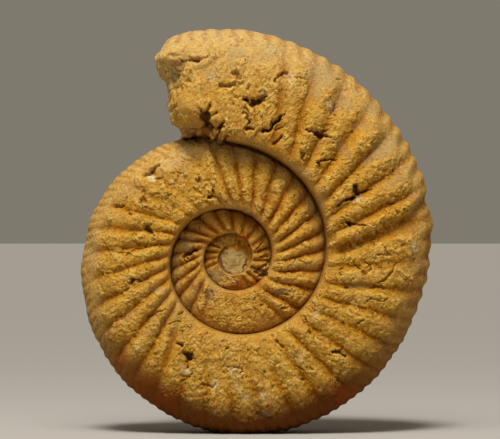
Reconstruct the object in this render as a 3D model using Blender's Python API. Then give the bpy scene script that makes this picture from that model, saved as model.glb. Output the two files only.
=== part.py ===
"""Fossil ammonite of the Perisphinctes kind, standing on a small worn spot of its rim.

Metres, +Z up. The better flank looks to -Y; seen from there the whorls grow anticlockwise and the
broken aperture end is at the upper left. The body is one closed skin: a spiral ribbon for each
flank, a strip over the rim of the last whorl, a broken wall at the aperture end and a plug of
matrix in the middle of each umbilicus.
"""

from itertools import product

import bmesh
import bpy
import numpy as np

MM = 0.001

# The spiral: degrees anticlockwise from +X seen from the front, rising towards the aperture.
START_DEG = -640.0
END_DEG = 472.0
TURN = 360.0
SAMPLES_PER_TURN = 540
FLANK_COLUMNS = 37
RIM_COLUMNS = 25
PLUG_RINGS = 9

# Distance in mm from the spiral's axis to the seam that bounds each whorl on its inside.
SEAM_DEG = (-640, -540, -450, -360, -270, -225, -180, -135, -90, -45, 0, 45, 90, 135, 180, 225,
            270, 315, 360, 405, 440, 450, 460, 472)
SEAM_MM = (4.2, 4.8, 5.6, 6.7, 8.13, 8.76, 9.40, 10.11, 10.95, 11.96, 13.18, 14.63, 16.32, 18.27,
           20.46, 22.86, 25.46, 28.26, 31.30, 34.74, 37.75, 38.75, 40.6, 43.3)

# Distance in mm from the axis to the rim (venter) of each whorl, hidden ones included.
RIM_DEG = (-640, -450, -270, -225, -180, -135, -90, -45, 0, 45, 90, 115, 150, 180, 215, 240, 252,
           260, 270, 280, 288, 300, 315, 360, 370, 378, 390, 410, 430, 450, 460, 472)
RIM_MM = (8.4, 12.0, 17.4, 19.6, 22.0, 24.6, 27.4, 30.5, 33.7, 37.2, 40.8, 43.7, 47.8, 50.6, 53.8,
          56.1, 57.4, 58.6, 60.0, 60.8, 61.1, 61.5, 62.6, 66.7, 68.5, 69.2, 70.2, 72.4, 74.8, 77.0,
          77.7, 77.7)

# Half thickness of the whorl in mm.
THICK_DEG = (-640, -450, -270, -90, 90, 180, 270, 360, 450, 472)
THICK_MM = (3.1, 4.4, 6.2, 8.4, 11.6, 13.6, 15.3, 16.6, 17.7, 17.8)

# Section of a whorl: a rounded box, widest below the middle of its height.
BOX_POWER = 0.80
WIDEST_SHIFT = 1.25
SEAM_BLEND = 7.0
FIRST_SEAM_HEIGHT = 0.62

# Where the grid's outer column runs on the open part of the last whorl, as a share of its height.
OPEN_DEG = (112, 150, 200, 472)
OPEN_SHARE = (0.975, 0.95, 0.91, 0.90)

# Grooves between the main ribs at mid flank, in degrees.
INNER_GROOVE_STEP_DEG = 18.0
INNER_GROOVES = 30
GROOVE_DEG = (-232, -215, -202.5, -186, -172.5, -158.6, -146.8, -131, -115.5, -102.5, -89.5, -76.5,
              -64, -51.5, -39.1, -22.9, -10.4, 2.8, 14, 26, 38, 50.4, 62.9, 75.4, 87, 98.6, 110,
              121, 132, 143, 154.4, 165, 175.6, 186.6, 197.6, 207.6, 218.3, 228.3, 238, 248.5, 259,
              269.6, 280, 290.7, 301.2, 310.9, 320.9, 330.6, 339.6, 349, 358.4, 369.6, 378.5,
              387.6, 396.6, 406, 415.4, 424.8, 434, 443, 452, 461, 470, 479)

# Height of the main ribs on the flank and of the fine ribs on the rim, groove to crest, in mm.
RIB_DEG = (-640, -500, -260, -225, -130, -110, -60, -40, 20, 95, 112, 145, 160, 230, 245, 292, 303,
           345, 420, 432, 445, 480)
RIB_MM = (0.35, 0.6, 0.6, 0.9, 0.9, 0.45, 0.4, 0.9, 1.2, 1.2, 0.5, 0.7, 1.3, 1.4, 0.7, 0.9, 1.5,
          1.6, 1.9, 0.8, 0.3, 0.05)
FINE_DEG = (-640, 90, 150, 230, 330, 360, 385, 420, 440, 455, 480)
FINE_MM = (0.3, 0.4, 0.5, 0.55, 0.75, 1.0, 1.0, 0.8, 0.4, 0.15, 0.05)
RIM_FADE = 0.35
SMOOTH_BAND = (0.05, 0.20)
FORK_SHARE = (0.80, 0.95)
TWO_FINE_FROM_DEG = (330, 345)
RIB_ROUNDNESS = 0.65

# How far a rib runs forward across the flank, in degrees against the share of whorl height.
LEAN_SHARE = (0.0, 0.1, 0.3, 0.55, 0.75, 0.9, 1.0)
LEAN_DEG = (-9.0, -6.5, -3.2, 0.0, 0.8, 2.5, 4.5)
LEAN_SCALE_DEG = (-640, -230, -90, 90, 160, 360, 378, 480)
LEAN_SCALE = (0.7, 1.0, 1.2, 1.2, 1.0, 1.0, 0.6, 0.6)

# The old growth stop: a wide smooth groove with a raised collar on its aperture side.
STOP_SHARE = (0.0, 0.2, 0.55, 0.92, 1.0)
STOP_DEG = (362.0, 365.0, 369.8, 374.6, 376.0)
STOP_HALF_DEG = 2.6
STOP_DEPTH_MM = 1.5
STOP_BAND = 0.15
RIBS_IN_STOP = 0.2
COLLAR_AFTER_DEG = 5.4
COLLAR_MM = 0.7

# The broken end: how far the front edge lies behind END_DEG against the share of whorl height.
EDGE_SHARE = (0.0, 0.05, 0.16, 0.29, 0.39, 0.49, 0.55, 0.64, 0.69, 0.77, 0.83, 0.88, 0.95, 1.0)
EDGE_BACK_DEG = (0.3, 0.5, 0.6, 1.8, 2.0, 3.8, 3.4, 2.8, 3.0, 2.4, 2.2, 3.8, 5.4, 7.4)
EDGE_RUN_DEG = 30.0
EDGE_ROUND_DEG = 11.0
EDGE_ROUND = 0.42
END_BULGE_MM = 2.2
END_LUMPS = 3.0

# Lumps and hollows near the aperture end of the front flank: degrees, share of height, length along
# the whorl in mm, width in mm, turn in degrees, height in mm.
END_RELIEF = (
    (468.5, 0.76, 4.5, 3.4, 25, 1.8),
    (460.2, 0.715, 5.5, 1.1, 2, -1.6),
    (456.2, 0.73, 2.0, 1.0, 2, -1.2),
    (467.4, 0.60, 1.8, 4.4, -35, -2.2),
    (465.6, 0.36, 5.0, 7.0, 0, 2.4),
    (461.8, 0.19, 2.6, 5.4, -20, -4.2),
    (466.0, 0.06, 4.5, 2.2, 10, -3.0),
    (457.8, 0.17, 1.3, 4.0, -22, 1.3),
    (455.4, 0.11, 0.9, 3.2, -18, -2.2),
    (469.0, 0.44, 1.4, 2.6, 30, -1.3),
)

# Solution pits in the front flank: degrees, share of height, half length, half width, turn, depth.
PITS = (
    (108.0, 0.20, 1.7, 1.2, 20, 1.6),
    (133.0, 0.79, 3.2, 0.9, 10, 1.1),
    (155.0, 0.785, 1.9, 0.9, 0, 1.2),
    (156.6, 0.63, 1.0, 0.8, 0, 0.9),
    (161.9, 0.365, 1.8, 1.0, -30, 1.5),
    (170.0, 0.44, 1.8, 0.6, -50, 0.9),
    (193.2, 0.427, 1.1, 1.1, 0, 1.7),
    (238.6, 0.34, 1.7, 1.0, 15, 1.7),
    (246.0, 0.40, 1.3, 2.7, -12, 2.3),
    (258.6, 0.60, 2.4, 0.7, 15, 1.2),
    (281.4, 0.853, 1.8, 1.0, 0, 1.0),
    (298.4, 0.195, 1.5, 1.0, -10, 1.2),
    (318.1, 0.58, 2.0, 1.2, 20, 1.5),
    (333.4, 0.547, 1.0, 0.8, 0, 1.0),
    (344.9, 0.275, 0.9, 0.7, 0, 1.0),
    (352.1, 0.605, 2.3, 0.8, -50, 1.1),
    (376.4, 0.28, 3.0, 1.1, 30, 1.7),
    (387.6, 0.30, 2.0, 3.0, -10, 2.3),
    (388.2, 0.413, 2.2, 1.2, 20, 1.4),
    (407.2, 0.24, 1.9, 1.5, -30, 2.2),
    (414.8, 0.413, 3.6, 1.2, 24, 2.0),
    (414.6, 0.155, 1.8, 0.8, 0, 1.3),
    (406.3, 0.653, 1.2, 0.8, 0, 1.0),
    (415.0, 0.667, 1.2, 0.8, 40, 1.0),
    (428.8, 0.747, 2.0, 0.6, -10, 1.0),
    (435.0, 0.68, 1.5, 1.3, -30, 1.5),
    (442.0, 0.413, 3.8, 1.6, 28, 2.6),
    (433.8, 0.25, 3.8, 1.7, 34, 3.0),
    (428.5, 0.16, 2.0, 0.9, 20, 1.4),
    (443.2, 0.227, 1.4, 1.2, 20, 1.4),
    (442.3, 0.152, 1.5, 0.8, 0, 1.2),
    (449.1, 0.60, 1.6, 1.6, 30, 1.3),
    (451.0, 0.507, 3.0, 1.0, 10, 1.3),
    (89.1, 0.483, 0.9, 2.2, -25, 1.3),
    (42.9, 0.389, 1.0, 1.4, 0, 0.8),
    (-5.0, 0.483, 0.9, 0.8, 0, 0.7),
    (-42.0, 0.69, 1.6, 1.6, 20, 1.0),
)

# Pits in the back flank, which the front's are no guide to.
BACK_PITS = (
    (128.0, 0.42, 2.0, 1.2, 20, 1.5),
    (171.0, 0.62, 1.4, 1.0, -20, 1.3),
    (209.0, 0.35, 1.8, 1.1, 30, 1.5),
    (252.0, 0.52, 2.4, 1.2, -15, 1.8),
    (296.0, 0.40, 1.5, 1.2, 10, 1.4),
    (327.0, 0.66, 1.8, 0.9, 25, 1.2),
    (356.0, 0.33, 2.2, 1.4, -30, 1.8),
    (392.0, 0.50, 2.8, 1.3, 25, 2.0),
    (411.0, 0.28, 2.2, 1.5, -25, 1.9),
    (431.0, 0.55, 3.0, 1.5, 30, 2.2),
    (447.0, 0.34, 3.4, 1.6, 15, 2.6),
    (459.0, 0.62, 2.6, 1.4, -20, 2.2),
    (464.0, 0.20, 2.4, 2.6, 10, 2.6),
    (60.0, 0.50, 1.2, 1.5, 0, 1.0),
)

# Uneven relief of the worn stone: size and height of the lumps in mm.
LUMP_MM = 9.0
LUMP_HEIGHT_MM = 0.45
CRUST_MM = 3.2
CRUST_HEIGHT_MM = 0.22
SEED = 11
LATTICE = 64
LATTICE_SHIFT_MM = 500.0

# Near the seam a whorl follows the moved edge of the whorl under it: how quickly that fades.
SEAM_PULL_SHARE = 0.03

# Plug of matrix in the umbilicus, off the spiral's axis.
PLUG_X_MM = 0.7
PLUG_Z_MM = -1.4
PLUG_LEVEL_MM = 3.2
PLUG_MERGE_DEG = 70.0
PLUG_LUMPS = 0.5

# The worn spot that the fossil stands on, as its distance below the spiral's axis.
SPOT_BELOW_AXIS_MM = 59.0

# Faces left on the skin in all.
TRIANGLES = 9600

STONE = (0.46, 0.29, 0.09, 1.0)
STONE_ROUGHNESS = 0.88


def through(stations, values, at):
    """Smooth curve through the stations, from cubic pieces that share their slopes."""
    x = np.asarray(stations, float)
    y = np.asarray(values, float)
    slope = np.gradient(y, x)
    k = np.clip(np.searchsorted(x, at) - 1, 0, len(x) - 2)
    width = x[k + 1] - x[k]
    u = np.clip((at - x[k]) / width, 0.0, 1.0)
    near = (1 + 2 * u) * (1 - u) ** 2 * y[k] + u * (1 - u) ** 2 * width * slope[k]
    far = u * u * (3 - 2 * u) * y[k + 1] - u * u * (1 - u) * width * slope[k + 1]
    return near + far


def step(low, high, value):
    """Smooth step from 0 at low to 1 at high."""
    u = np.clip((value - low) / (high - low), 0.0, 1.0)
    return u * u * (3 - 2 * u)


def grain(points, size, seed):
    """Smooth random field between -1 and 1 with lumps of about the given size."""
    lattice = np.random.default_rng(seed).uniform(-1, 1, (LATTICE, LATTICE, LATTICE))
    cell = points / size
    low = np.floor(cell).astype(int)
    part = cell - low
    part = part * part * (3 - 2 * part)
    total = np.zeros(points.shape[:-1])
    for corner in product((0, 1), repeat=3):
        spot = (low + np.array(corner)) % LATTICE
        weight = np.prod(np.where(corner, part, 1 - part), axis=-1)
        total += weight * lattice[spot[..., 0], spot[..., 1], spot[..., 2]]
    return total


def seam_radius(deg):
    """Distance of the seam from the axis in mm."""
    return through(SEAM_DEG, SEAM_MM, deg)


def rim_radius(deg):
    """Distance of the rim from the axis in mm."""
    return through(RIM_DEG, RIM_MM, deg)


def half_thickness(deg):
    """Half thickness of the whorl in mm."""
    return through(THICK_DEG, THICK_MM, deg)


def outer_share(deg):
    """Share of the whorl's height at which the next whorl covers it, or would."""
    covered = (seam_radius(deg + TURN) - seam_radius(deg)) / (rim_radius(deg) - seam_radius(deg))
    return np.where(deg <= END_DEG - TURN, covered, through(OPEN_DEG, OPEN_SHARE, deg))


def share_at(angle):
    """Share of height reached at a point of the section, whose angle runs from 0 to pi."""
    turn = np.cos(angle)
    return (0.5 * (1 - np.sign(turn) * np.abs(turn) ** BOX_POWER)) ** WIDEST_SHIFT


def angle_at(share):
    """The section angle that gives a share of height: share_at the other way round."""
    turn = 1 - 2 * share ** (1 / WIDEST_SHIFT)
    return np.arccos(np.sign(turn) * np.abs(turn) ** (1 / BOX_POWER))


def seam_height(deg, turns=3):
    """Distance of the seam from the middle plane: the height of the whorl one turn earlier."""
    if turns == 0:
        return FIRST_SEAM_HEIGHT * half_thickness(deg)
    before = deg - TURN
    return np.where(
        before < START_DEG,
        FIRST_SEAM_HEIGHT * half_thickness(deg),
        section_height(before, angle_at(outer_share(before)), turns - 1),
    )


def section_height(deg, angle, turns=3):
    """Distance of the flank from the middle plane at an angle of the section."""
    rest = np.clip(1 - share_at(angle), 0, 1)
    body = half_thickness(deg) * np.abs(np.sin(angle)) ** BOX_POWER
    return body + seam_height(deg, turns) * rest ** SEAM_BLEND


def pushed_back(deg, share):
    """Angles with the broken end's outline worked in over the last stretch of the whorl."""
    run = np.clip((deg - END_DEG + EDGE_RUN_DEG) / EDGE_RUN_DEG, 0, 1) ** 2
    return deg - run * through(EDGE_SHARE, EDGE_BACK_DEG, share) * step(0.0, 0.06, share)


def base_points(deg, angle, side):
    """Plain surface of the whorl in mm, as x, y, z: y is minus in front."""
    share = share_at(angle)
    radius = seam_radius(deg) + share * (rim_radius(deg) - seam_radius(deg))
    start = step(START_DEG, START_DEG + PLUG_MERGE_DEG, deg)
    height = PLUG_LEVEL_MM + (section_height(deg, angle) - PLUG_LEVEL_MM) * start
    ending = np.clip((deg - END_DEG + EDGE_ROUND_DEG) / EDGE_ROUND_DEG, 0, 1)
    rounding = 1 - EDGE_ROUND * ending ** 2.5 * step(0.0, 0.12, share)
    at = np.radians(pushed_back(deg, share))
    return np.stack([radius * np.cos(at), side * height * rounding, radius * np.sin(at)], axis=-1)


def ribs(deg, share):
    """Height in mm of main ribs, fine ribs and the growth stop."""
    lean = through(LEAN_SCALE_DEG, LEAN_SCALE, deg) * np.interp(share, LEAN_SHARE, LEAN_DEG)
    inner = GROOVE_DEG[0] - INNER_GROOVE_STEP_DEG * np.arange(INNER_GROOVES, 0, -1)
    grooves = np.concatenate([inner, GROOVE_DEG])
    count = np.interp(deg - lean, grooves, np.arange(len(grooves)))
    main = (0.5 - 0.5 * np.cos(2 * np.pi * count)) ** RIB_ROUNDNESS - 0.5
    by_three = 0.5 - 0.5 * np.cos(6 * np.pi * count)
    by_two = 0.5 - 0.5 * np.cos(4 * np.pi * count)
    later = step(TWO_FINE_FROM_DEG[0], TWO_FINE_FROM_DEG[1], deg)
    fine = (1 - later) * by_three + later * by_two - 0.5
    fork = step(FORK_SHARE[0], FORK_SHARE[1], share)
    height = (1 - fork) * np.interp(deg, RIB_DEG, RIB_MM) * main
    height = height * step(SMOOTH_BAND[0], SMOOTH_BAND[1], share)
    over_rim = 1 - RIM_FADE * step(0.85, 1.0, share)
    height = height + fork * over_rim * np.interp(deg, FINE_DEG, FINE_MM) * fine
    off_stop = deg - through(STOP_SHARE, STOP_DEG, share)
    stop = np.exp(-((off_stop / STOP_HALF_DEG) ** 2))
    collar = np.exp(-(((off_stop - COLLAR_AFTER_DEG) / STOP_HALF_DEG) ** 2))
    band = step(0.0, STOP_BAND, share)
    height = height * (1 - (1 - RIBS_IN_STOP) * stop)
    return height + band * (COLLAR_MM * collar - STOP_DEPTH_MM * stop)


def relief(deg, share, spots, sign):
    """Sum of oval lumps (or, with sign -1, pits) with steep sides and flat tops, in mm."""
    radius = seam_radius(deg) + share * (rim_radius(deg) - seam_radius(deg))
    total = np.zeros(np.broadcast(deg, share).shape)
    for at_deg, at_share, length, width, turn, height in spots:
        along = np.radians(deg - at_deg) * radius
        across = (share - at_share) * (rim_radius(at_deg) - seam_radius(at_deg))
        tilt = np.radians(turn)
        u = (along * np.cos(tilt) + across * np.sin(tilt)) / length
        v = (across * np.cos(tilt) - along * np.sin(tilt)) / width
        total += sign * height * np.exp(-((u * u + v * v) ** 1.6))
    return total


def stone_lumps(points):
    """Uneven worn relief of the stone in mm: broad lumps and smaller ones on them."""
    moved = points + LATTICE_SHIFT_MM
    broad = LUMP_HEIGHT_MM * grain(moved, LUMP_MM, SEED)
    return broad + CRUST_HEIGHT_MM * grain(moved, CRUST_MM, SEED + 1)


def outward(points, sign):
    """Unit normals of a grid of points, rows along the whorl; the sign picks the side."""
    along = np.gradient(points, axis=0)
    across = np.gradient(points, axis=1)
    normal = np.cross(across, along) * sign
    return normal / np.maximum(np.linalg.norm(normal, axis=-1, keepdims=True), 1e-9)


def flank(side):
    """Grid of points of one flank, from the innermost line to the aperture, seam to outer column."""
    steps = round((END_DEG - START_DEG) / TURN * SAMPLES_PER_TURN)
    deg = np.linspace(START_DEG, END_DEG, steps + 1)[:, None]
    limit = angle_at(outer_share(deg))
    angle = limit * np.linspace(0, 1, FLANK_COLUMNS)[None, :]
    share = share_at(angle)
    plain = base_points(deg, angle, side)
    spots = END_RELIEF if side < 0 else ()
    height = ribs(deg, share) + relief(deg, share, spots, 1)
    height = height + relief(deg, share, PITS if side < 0 else BACK_PITS, -1)
    height = height + stone_lumps(plain) * step(0.0, 0.1, share)
    points = plain + outward(plain, -side) * height[..., None]
    for first in range(SAMPLES_PER_TURN, steps + 1, SAMPLES_PER_TURN):
        rows = np.arange(first, min(first + SAMPLES_PER_TURN, steps + 1))
        moved = points[rows - SAMPLES_PER_TURN, -1] - plain[rows, 0]
        fade = np.exp(-((share[rows] / SEAM_PULL_SHARE) ** 2))
        points[rows] = points[rows] + moved[:, None, :] * fade[..., None]
        points[rows, 0] = points[rows - SAMPLES_PER_TURN, -1]
    return points


def rim_strip(front, back):
    """Grid of points over the rim of the last whorl, from the front's outer column to the back's."""
    first = len(front) - 1 - SAMPLES_PER_TURN
    deg = np.linspace(END_DEG - TURN, END_DEG, SAMPLES_PER_TURN + 1)[:, None]
    across = np.linspace(-1, 1, RIM_COLUMNS)[None, :]
    limit = angle_at(outer_share(deg))
    angle = np.pi - (np.pi - limit) * np.abs(across)
    plain = base_points(deg, angle, 1.0)
    plain[..., 1] = plain[..., 1] * np.sign(across)
    share = share_at(angle)
    height = ribs(deg, share) + stone_lumps(plain)
    points = plain + outward(plain, 1.0) * height[..., None]
    weight = (np.abs(across) ** 6)[..., None]
    to_front = (front[first:, -1] - points[:, 0])[:, None, :]
    to_back = (back[first:, -1] - points[:, -1])[:, None, :]
    return points + weight * np.where(across[..., None] < 0, to_front, to_back)


def end_wall(front, back, strip):
    """Grid of points of the broken wall at the aperture, from the inner whorl's rim to the last's."""
    across = np.linspace(-1, 1, RIM_COLUMNS)[None, :, None]
    left = front[-1][:, None, :]
    right = back[-1][:, None, :]
    wall = left * (1 - across) / 2 + right * (1 + across) / 2
    along = np.linspace(0, 1, FLANK_COLUMNS)[:, None, None]
    wall = wall + (1 - along) ** 3 * (strip[0] - wall[0])[None]
    wall = wall + along ** 2 * (strip[-1] - wall[-1])[None]
    at = np.radians(END_DEG)
    ahead = np.array([-np.sin(at), 0.0, np.cos(at)])
    inside = (1 - across[..., 0] ** 2) * np.sin(np.pi * along[..., 0]) ** 0.6
    push = END_BULGE_MM * inside + inside * END_LUMPS * stone_lumps(wall)
    return wall + push[..., None] * ahead


def weld(front, back, strip, wall):
    """All points in one list, and the faces that join them into one closed skin."""
    rows = len(front)
    turn = SAMPLES_PER_TURN
    points = []
    faces = []

    def store(block):
        """Puts a block of points in the list and gives their places."""
        at = len(points)
        points.extend(block.reshape(-1, 3))
        return at + np.arange(block[..., 0].size).reshape(block.shape[:-1])

    def join(index):
        """Four-sided faces over a grid of places."""
        a, b, c, d = index[:-1, :-1], index[1:, :-1], index[1:, 1:], index[:-1, 1:]
        faces.extend(np.stack([a, b, c, d], axis=-1).reshape(-1, 4).tolist())

    flanks = []
    for side, grid in ((-1, front), (1, back)):
        index = np.empty(grid.shape[:2], int)
        index[:, 1:] = store(grid[:, 1:])
        index[:turn, 0] = store(grid[:turn, 0])
        index[turn:, 0] = index[: rows - turn, -1]
        join(index)
        flanks.append(index)
        loop = np.concatenate([index[: turn + 1, 0], index[0, -2:0:-1]])
        spots = np.concatenate([grid[: turn + 1, 0], grid[0, -2:0:-1]])
        middle = np.array([PLUG_X_MM, 0.0, PLUG_Z_MM])
        outer = loop
        for ring in range(1, PLUG_RINGS):
            part = ring / PLUG_RINGS
            inner = spots + (middle - spots) * part
            level = side * (PLUG_LEVEL_MM + PLUG_LUMPS * stone_lumps(inner))
            blend = step(0.0, 0.4, part)
            inner[:, 1] = spots[:, 1] * (1 - blend) + level * blend
            here = store(inner)
            for k in range(len(loop)):
                after = (k + 1) % len(loop)
                faces.append([outer[k], here[k], here[after], outer[after]])
            outer = here
        tip = store(np.array([[PLUG_X_MM, side * PLUG_LEVEL_MM, PLUG_Z_MM]]))[0]
        for k in range(len(loop)):
            faces.append([outer[k], tip, outer[(k + 1) % len(loop)]])

    over = np.empty(strip.shape[:2], int)
    over[:, 1:-1] = store(strip[:, 1:-1])
    over[:, 0] = flanks[0][rows - 1 - turn:, -1]
    over[:, -1] = flanks[1][rows - 1 - turn:, -1]
    join(over)

    face = np.empty(wall.shape[:2], int)
    face[1:-1, 1:-1] = store(wall[1:-1, 1:-1])
    face[:, 0] = flanks[0][-1]
    face[:, -1] = flanks[1][-1]
    face[0] = over[0]
    face[-1] = over[-1]
    join(face)
    return np.array(points), [[int(v) for v in f] for f in faces]


def thin_out(points, faces):
    """The skin as a mesh with about TRIANGLES faces, closest where the relief is."""
    fine = bpy.data.meshes.new("skin")
    fine.from_pydata((points * MM).tolist(), [], faces)
    holder = bpy.data.objects.new("skin", fine)
    bpy.context.scene.collection.objects.link(holder)
    bm = bmesh.new()
    bm.from_mesh(fine)
    bmesh.ops.recalc_face_normals(bm, faces=bm.faces)
    bmesh.ops.triangulate(bm, faces=bm.faces)
    count = len(bm.faces)
    bm.to_mesh(fine)
    bm.free()
    collapse = holder.modifiers.new("thin", "DECIMATE")
    collapse.ratio = TRIANGLES / count
    shown = holder.evaluated_get(bpy.context.evaluated_depsgraph_get())
    thin = bpy.data.meshes.new_from_object(shown)
    bpy.data.objects.remove(holder)
    return thin


def stand(mesh):
    """Cuts the worn spot, and puts the origin under the middle of the body at its base."""
    bm = bmesh.new()
    bm.from_mesh(mesh)
    cut = -SPOT_BELOW_AXIS_MM * MM
    whole = bm.verts[:] + bm.edges[:] + bm.faces[:]
    bmesh.ops.bisect_plane(bm, geom=whole, dist=1e-7, plane_co=(0, 0, cut), plane_no=(0, 0, -1),
                           clear_outer=True)
    open_edges = [e for e in bm.edges if e.is_boundary]
    bmesh.ops.contextual_create(bm, geom=open_edges)
    bmesh.ops.triangulate(bm, faces=[f for f in bm.faces if len(f.verts) > 3])
    bmesh.ops.recalc_face_normals(bm, faces=bm.faces)
    spread = [[v.co[k] for v in bm.verts] for k in range(3)]
    shift = (-(min(spread[0]) + max(spread[0])) / 2, -(min(spread[1]) + max(spread[1])) / 2, -cut)
    bmesh.ops.translate(bm, verts=bm.verts, vec=shift)
    bm.to_mesh(mesh)
    bm.free()


def stone():
    """Ochre limestone."""
    material = bpy.data.materials.new("stone")
    material.use_nodes = True
    shader = material.node_tree.nodes["Principled BSDF"]
    shader.inputs["Base Color"].default_value = STONE
    shader.inputs["Roughness"].default_value = STONE_ROUGHNESS
    shader.inputs["Metallic"].default_value = 0.0
    return material


def main():
    """Builds the four surfaces, welds them into one skin and stands it on its worn spot."""
    for old in list(bpy.data.objects):
        bpy.data.objects.remove(old)
    front = flank(-1.0)
    back = flank(1.0)
    strip = rim_strip(front, back)
    wall = end_wall(front, back, strip)
    mesh = thin_out(*weld(front, back, strip, wall))
    stand(mesh)
    mesh.name = "ammonite"
    mesh.materials.append(stone())
    fossil = bpy.data.objects.new("ammonite", mesh)
    bpy.context.scene.collection.objects.link(fossil)


main()
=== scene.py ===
"""Looks of the fossil ammonite: its crusted, ribbed skin, the matrix in its middle, floor, light, camera.

Millimetres and degrees on the fossil, metres in the scene, +Z up, better flank to -Y. A place on the
shell is given by degrees along the spiral, rising towards the aperture, and by the share of the
whorl's height, 0 at the seam with the whorl inside it and 1 at the middle of the rim.
"""

from itertools import product

import bpy
import numpy as np
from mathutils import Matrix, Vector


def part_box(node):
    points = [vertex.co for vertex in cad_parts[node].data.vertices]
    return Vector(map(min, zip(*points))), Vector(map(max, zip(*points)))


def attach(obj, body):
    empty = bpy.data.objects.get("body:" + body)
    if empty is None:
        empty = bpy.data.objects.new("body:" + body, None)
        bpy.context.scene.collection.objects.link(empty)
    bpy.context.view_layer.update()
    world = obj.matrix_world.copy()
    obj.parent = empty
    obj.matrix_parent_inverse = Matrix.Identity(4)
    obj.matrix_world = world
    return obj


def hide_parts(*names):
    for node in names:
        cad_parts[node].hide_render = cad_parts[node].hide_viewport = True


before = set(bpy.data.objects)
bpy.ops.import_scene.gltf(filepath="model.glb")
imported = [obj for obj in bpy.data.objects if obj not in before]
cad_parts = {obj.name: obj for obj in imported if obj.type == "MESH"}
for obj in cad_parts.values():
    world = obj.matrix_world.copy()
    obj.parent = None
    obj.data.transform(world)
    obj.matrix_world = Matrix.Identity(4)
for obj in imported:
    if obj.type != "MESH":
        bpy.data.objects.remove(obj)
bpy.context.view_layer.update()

MM = 0.001
TURN = 360.0

# The spiral, as in the solid: where it starts and ends, and where the open last whorl begins.
START_DEG = -640.0
END_DEG = 472.0
OPENING_DEG = (100.0, 107.0)

# Grid of a flank: the step along the rim in mm, the points across, how far it runs on under the next
# whorl, and how far its inner edge is tucked in under the seam, towards the axis and the middle plane.
# Equal steps are measured out on lines with this many points, across on a section this thick.
STATION_MM = 0.375
COLUMNS = 136
HIDDEN_SHARE = 0.05
TUCK_MM = 1.6
TUCK_THICKNESS_SHARE = 0.3
STATION_FINENESS = 8001
SECTION_FINENESS = 2001
SECTION_WIDTH_SHARE = 0.45

# Distance in mm from the spiral's axis to the seam that bounds each whorl on its inside.
SEAM_DEG = (-640, -540, -450, -360, -270, -225, -180, -135, -90, -45, 0, 45, 90, 135, 180, 225,
            270, 315, 360, 405, 440, 450, 460, 472)
SEAM_MM = (4.2, 4.8, 5.6, 6.7, 8.13, 8.76, 9.40, 10.11, 10.95, 11.96, 13.18, 14.63, 16.32, 18.27,
           20.46, 22.86, 25.46, 28.26, 31.30, 34.74, 37.75, 38.75, 40.6, 43.3)

# Distance in mm from the axis to the rim of each whorl, hidden ones included.
RIM_DEG = (-640, -450, -270, -225, -180, -135, -90, -45, 0, 45, 90, 115, 150, 180, 215, 240, 252,
           260, 270, 280, 288, 300, 315, 360, 370, 378, 390, 410, 430, 450, 460, 472)
RIM_MM = (8.4, 12.0, 17.4, 19.6, 22.0, 24.6, 27.4, 30.5, 33.7, 37.2, 40.8, 43.7, 47.8, 50.6, 53.8,
          56.1, 57.4, 58.6, 60.0, 60.8, 61.1, 61.5, 62.6, 66.7, 68.5, 69.2, 70.2, 72.4, 74.8, 77.0,
          77.7, 77.7)

# Half thickness of the whorl in mm.
THICK_DEG = (-640, -450, -270, -90, 90, 180, 270, 360, 450, 472)
THICK_MM = (3.1, 4.4, 6.2, 8.4, 11.6, 13.6, 15.3, 16.6, 17.7, 17.8)

# Section of a whorl: a rounded box, widest below the middle of its height.
BOX_POWER = 0.80
WIDEST_SHIFT = 1.25
SEAM_BLEND = 7.0
FIRST_SEAM_HEIGHT = 0.62

# A covered whorl falls away beside the whorl on top of it: the stretch of its height in which it does,
# before and past the edge, how far as a share of its half thickness, and where that fades out. It falls
# more on the side of the spiral that a turn in radians picks.
MARGIN_BEFORE = 0.07
MARGIN_PAST = 0.02
MARGIN_DROP = 0.04
MARGIN_ENDS_DEG = (90, 100)
NEVER_COVERED = 2.0
# The shaded side also gets more painted shade in the seam mask.
SHADED_DROP = 0.08
SHADED_TURN = 0.4
SHADED_SINE = (-0.2, 0.9)

# Grooves between the main ribs at mid flank, in degrees: evenly spaced ones first, then the others.
INNER_GROOVES = 40
INNER_GROOVE_STEP_DEG = 19.0
GROOVE_DEG = (-232, -215, -202.5, -186, -172.5, -158.6, -146.8, -131, -115.5, -102.5, -89.5, -76.5,
              -64, -51.5, -39.1, -22.9, -10.4, 2.8, 14, 26, 38, 50.4, 62.9, 75.4, 87, 98.6, 110,
              121, 132, 143, 154.4, 165, 175.6, 186.6, 197.6, 207.6, 218.3, 228.3, 238, 248.5, 259,
              269.6, 280, 290.7, 301.2, 310.9, 320.9, 330.6, 339.6, 349, 358.4, 369.6, 378.5,
              387.6, 396.6, 406, 415.4, 424.8, 434, 443, 452, 461, 470, 479)

# Height of the main ribs on the flank in mm, groove to crest, how much it differs from rib to rib, how
# round the ribs are, how many heights are drawn, and how uneven a rib is along its length.
RIB_DEG = (-640, -600, -575, -525, -508, -430, -408, -260, -225, -130, -122, -108, -60, -42, 20, 95,
           112, 145, 160, 230, 242, 256, 285, 295, 305, 335, 350, 364, 376, 390, 420, 432, 445, 480)
RIB_MM = (0.1, 0.3, 0.9, 0.9, 0.15, 0.2, 1.0, 1.2, 1.4, 1.3, 1.0, 0.1, 0.1, 1.3, 1.5, 1.2, 0.4, 0.6,
          1.1, 1.4, 1.0, 0.75, 0.8, 0.9, 1.0, 1.15, 0.9, 0.5, 1.4, 1.9, 1.8, 0.9, 0.3, 0.05)
RIBS_DIFFER = (0.7, 1.15)
RIB_ROUNDNESS = 0.55
RIB_HEIGHTS = 200
RIB_UNEVEN = 0.22
RIB_UNEVEN_MM = 11.0

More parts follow.
